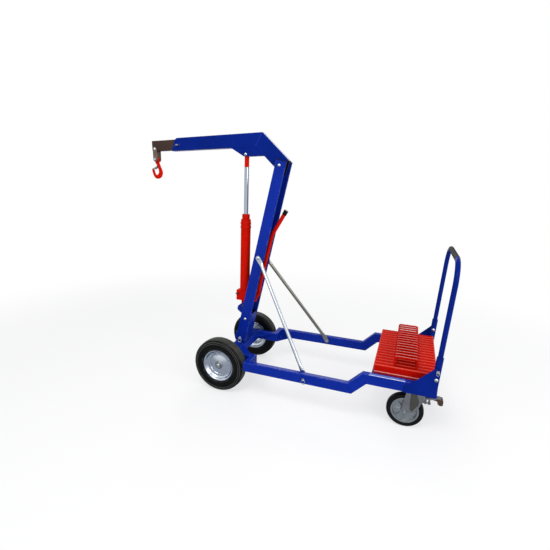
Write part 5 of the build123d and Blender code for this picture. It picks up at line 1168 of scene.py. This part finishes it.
@dataclass
class Caster(SubAssembly):
    """A swivel caster with its brake."""

    name: str
    side: int
    offset: float = 259.0
    leg_face: float = 33.0
    pressing: Outline = (
        (1343, 248), (1378, 250), (1393, 206), (1390, 174), (1356, 126), (1342, 140),
        (1341.0, 184.0),
    )
    pressing_height: float = 3.6
    screws: Pair = (1431.0, 1453.0)
    screw_top: float = 213.0
    screw: Outline = (
        (0, 0.2), (0, 6.4), (19, 6.4), (19, 10.4), (29, 10.4), (32, 7), (32, 0.2),
    )
    pedal: Outline = (
        (1486, 230), (1506, 236), (1526, 237), (1531, 226), (1530, 203), (1523, 197),
        (1510, 198), (1504, 213),
    )
    pedal_half: float = 23.0

    def build(self) -> None:
        """Dresses the caster and adds its small parts."""
        self.pressings()
        self.brake_screws()
        self.pedal_pad()
        caster = f"{self.name}_caster"
        round_nodes(
            (f"{caster}_plate", Finishes.ZINC, 0.8),
            (f"{caster}_fork", Finishes.DULL_ZINC, 0.8),
            (f"{caster}_axle", Finishes.ZINC, 0.6),
            (f"{caster}_rim", Finishes.CAST_ALLOY, 1.5),
        )
        rounded_node(f"{caster}_tyre", Finishes.CASTER_RUBBER, Edges(small=2.0, sharp=25.0))
        round_nodes((f"{caster}_brake", Finishes.DULL_ZINC, 1.0))

    def pressings(self) -> None:
        """Raises the pressed middle of both legs of the fork, in a darker finish that paints shade on it."""
        for leg in (-1, 1):
            corners = upright(self.pressing, self.side * self.offset + leg * self.leg_face)
            push = (0.0, leg * self.pressing_height, 0.0)
            raised = Panel(f"{self.name}_leg_pressing_{leg + 1}", corners, push, small=2.4)
            settle(raised.build(), Finishes.LEG_FACE, f"{self.name}_caster_fork")

    def brake_screws(self) -> None:
        """Hangs the brake's zinc adjusting screws."""
        for number, x in enumerate(self.screws):
            head = (x, self.side * self.offset, self.screw_top)
            name = f"{self.name}_brake_screw_{number}"
            screw = Turning(name, self.screw, head, (0.0, 0.0, -1.0), steps=6, small=0.4)
            settle(screw.build(), Finishes.DULL_ZINC, f"{self.name}_caster_axle", f"{self.name}_brake")

    def pedal_pad(self) -> None:
        """Folds the wide pad on the end of the brake pedal."""
        corners = upright(self.pedal, self.side * self.offset - self.pedal_half)
        pad = Panel(f"{self.name}_pedal_pad", corners, (0.0, 2 * self.pedal_half, 0.0), small=2.0)
        settle(pad.build(), Finishes.PEDAL_BROWN, f"{self.name}_caster_brake")


@dataclass
class PushHandle(SubAssembly):
    """Bent push handle on its brackets."""

    bar: Point = (1506.35, 0.0, 1109.84)
    grip_length: float = 412.0
    grip_radius: float = 16.8
    grip_edge: float = 1.0
    tube_radius: float = 15.0
    rib_pitch: float = 7.0
    rib_depth: float = 0.7
    rib_margin: float = 24.0
    groove: Point = (1.0, 2.6, 3.6)
    bracket_edge: Outline = ((1289.5, 297), (1295.5, 340), (1327, 363))
    outer: float = 371.0
    bead: float = 1.8
    bush_spot: Pair = (1469.2, 465.9)
    bush_seat: float = 331.5
    bush: Outline = (
        (0, 0), (0, 11.5), (2.5, 11.5), (5.5, 9), (7.5, 5), (8.2, 0), (0, 0),
    )

    def build(self) -> None:
        """Dresses the handle, its brackets and pins, and builds its grip."""
        dress(frame["nodes"]["push_handle"], Finishes.DEEP_BLUE)
        grip = Turning("ribbed_grip", self.grip_section(), self.bar, steps=40)
        settle(grip.build(), Finishes.GRIP, "handle_grip", stands=True)
        beads = []
        for name, side in SIDES:
            round_nodes((f"{name}_handle_bracket", Finishes.DEEP_BLUE, 1.2))
            edge = upright(self.bracket_edge, side * self.outer)
            beads += [Bead(start, end, self.bead) for start, end in zip(edge, edge[1:])]
            seat = (self.bush_spot[0], side * self.bush_seat, self.bush_spot[1])
            bush = Turning(f"{name}_pin_bush", self.bush, seat, (0.0, -float(side), 0.0), steps=24)
            settle(bush.build(), Finishes.BOLT_ZINC, "handle_pivot_bolts", BODIES["push_handle"])
        lay_beads("bracket_welds", beads, Finishes.DEEP_BLUE, "left_handle_bracket")
        round_nodes(("handle_lock_pins", Finishes.ZINC, 0.8), ("handle_pivot_bolts", Finishes.BOLT_ZINC, 0.8))

    def grip_section(self) -> Outline:
        """Works out the ribbed section of the grip.

        Returns:
            A closed section along the push bar.
        """
        half = self.grip_length / 2
        high = self.grip_radius
        low = high - self.rib_depth
        end = [(half - self.grip_edge, high), (half, high - self.grip_edge), (half, self.tube_radius)]
        count = int((self.grip_length - self.rib_margin) / self.rib_pitch)
        section = [(-along, out) for along, out in reversed(end)]
        for number in range(count):
            start = (number - count / 2) * self.rib_pitch
            down, bottom, up = (start + along for along in self.groove)
            section += [(start, high), (down, low), (bottom, low), (up, high)]
        section += end
        return tuple(section + section[:1])


@dataclass
class Studio:
    """Floor, light and camera. Its lamps and its floor are set out in metres."""

    eye: Point = (1252.0, -2522.0, 1489.0)
    yaw: float = 20.64
    pitch: float = 13.45
    roll: float = 1.16
    focal_share: float = 364.1 / 550.0
    sensor: float = 36.0
    floor_size: float = 24.0
    floor_drop: float = 0.001
    floor_fade: Pair = (1.6, 4.2)
    floor_glow: float = 0.62
    world_strength: float = 0.55
    # Name, place, aim, side and watts of each lamp.
    rig: tuple[tuple[str, Point, Point, float, float], ...] = (
        ("key", (0.4, -3.0, 4.4), (0.5, 0.0, 0.7), 2.4, 110.0),
        ("fill", (3.8, -1.8, 2.4), (0.8, 0.0, 0.6), 2.0, 50.0),
        ("back", (-0.5, 3.5, 3.2), (0.5, 0.0, 0.8), 2.0, 40.0),
    )

    def build(self) -> None:
        """Sets up everything around the crane."""
        self.floor()
        self.world()
        self.lamps()
        self.camera()
        bpy.context.scene.view_settings.view_transform = "Standard"

    def floor(self) -> None:
        """Lays a pale floor that keeps the crane's shadow, goes white far off and mirrors grey in metal."""
        bpy.ops.object.select_all(action="DESELECT")
        bpy.ops.mesh.primitive_plane_add(size=self.floor_size, location=(0.0, 0.0, -self.floor_drop))
        floor = bpy.context.object
        floor.name = "floor"
        made = bpy.data.materials.new("pale_floor")
        wiring = Wiring(made)
        paint = wiring.add("BsdfDiffuse", {"Color": linear("#f4f4f4")}, {})
        glow = wiring.add("Emission", {"Color": WHITE}, {})
        # Grey glow seen only by glossy rays near the crane: a painted reflection in metal.
        grey = wiring.add("Emission", {"Color": linear("#aeb3bd")}, {})
        middle = wiring.add("TexCoord", {}, {}, "Object")
        away = wiring.add("VectorMath", {"operation": "LENGTH"}, {0: middle}, "Value")
        fade = wiring.span(away, self.floor_fade, (self.floor_glow, 1.0), "SMOOTHSTEP")
        seen = wiring.blend(wiring.math("MULTIPLY", self.seen_rays(wiring), fade), paint, glow)
        glossy = wiring.add("LightPath", {}, {}, "Is Glossy Ray")
        near = wiring.span(away, self.floor_fade, (1.0, 0.0))
        wiring.show(wiring.blend(wiring.math("MULTIPLY", glossy, near), seen, grey))
        floor.data.materials.append(made)

    def seen_rays(self, wiring: Wiring) -> Any:
        """Tells rays that show the background from rays that carry its light.

        Args:
            wiring: Wiring of the floor or the world.

        Returns:
            Socket that is 1 for camera, glossy and transmission rays.
        """
        kinds = ("Camera", "Glossy", "Transmission")
        camera, glossy, through = (wiring.add("LightPath", {}, {}, f"Is {kind} Ray") for kind in kinds)
        return wiring.math("MAXIMUM", wiring.math("MAXIMUM", camera, glossy), through)

    def world(self) -> None:
        """Makes the soft light all round, white where the camera sees it."""
        world = bpy.data.worlds.new("studio")
        bpy.context.scene.world = world
        wiring = Wiring(world)
        soft = wiring.add("Background", {"Color": linear("#fafbff"), "Strength": self.world_strength}, {})
        white = wiring.add("Background", {"Color": WHITE, "Strength": 1.0}, {})
        wiring.show(wiring.blend(self.seen_rays(wiring), soft, white), "OutputWorld")

    def lamps(self) -> None:
        """Hangs a large soft key lamp, a smaller fill and a back lamp."""
        for name, spot, aim, size, power in self.rig:
            data = bpy.data.lights.new(name, "AREA")
            data.size = size
            data.energy = power
            lamp = bpy.data.objects.new(name, data)
            bpy.context.scene.collection.objects.link(lamp)
            lamp.location = spot
            lamp.rotation_euler = (Vector(aim) - Vector(spot)).to_track_quat("-Z", "Y").to_euler()

    def camera(self) -> None:
        """Sets the camera at the photograph's viewing angle."""
        a = radians(self.yaw)
        e = radians(self.pitch)
        r = radians(self.roll)
        back = Vector((sin(a) * cos(e), -cos(a) * cos(e), sin(e)))
        level = Vector((cos(a), sin(a), 0.0))
        rise = back.cross(level)
        right = level * cos(r) + rise * sin(r)
        up = rise * cos(r) - level * sin(r)
        data = bpy.data.cameras.new("photo_camera")
        data.sensor_width = self.sensor
        data.lens = self.sensor * self.focal_share
        camera = bpy.data.objects.new("photo_camera", data)
        bpy.context.scene.collection.objects.link(camera)
        turn = Matrix((right, up, back)).transposed().to_4x4()
        camera.matrix_world = Matrix.Translation(Vector(self.eye) * MM) @ turn
        bpy.context.scene.camera = camera


def main() -> None:
    """Builds every sub-assembly and the studio."""
    logging.basicConfig(level=logging.INFO, format="%(name)s %(message)s")
    groups = (
        BaseFrame(),
        *(FrontWheel(*side) for side in SIDES),
        MastAndTies(),
        BoomAndHook(),
        RamAndPump(),
        WeightStack(),
        *(Caster(*side) for side in SIDES),
        PushHandle(),
    )
    for group in groups:
        group.build()
        LOG.info("%s built", type(group).__name__)
    Studio().build()


if __name__ == "__main__":
    main()
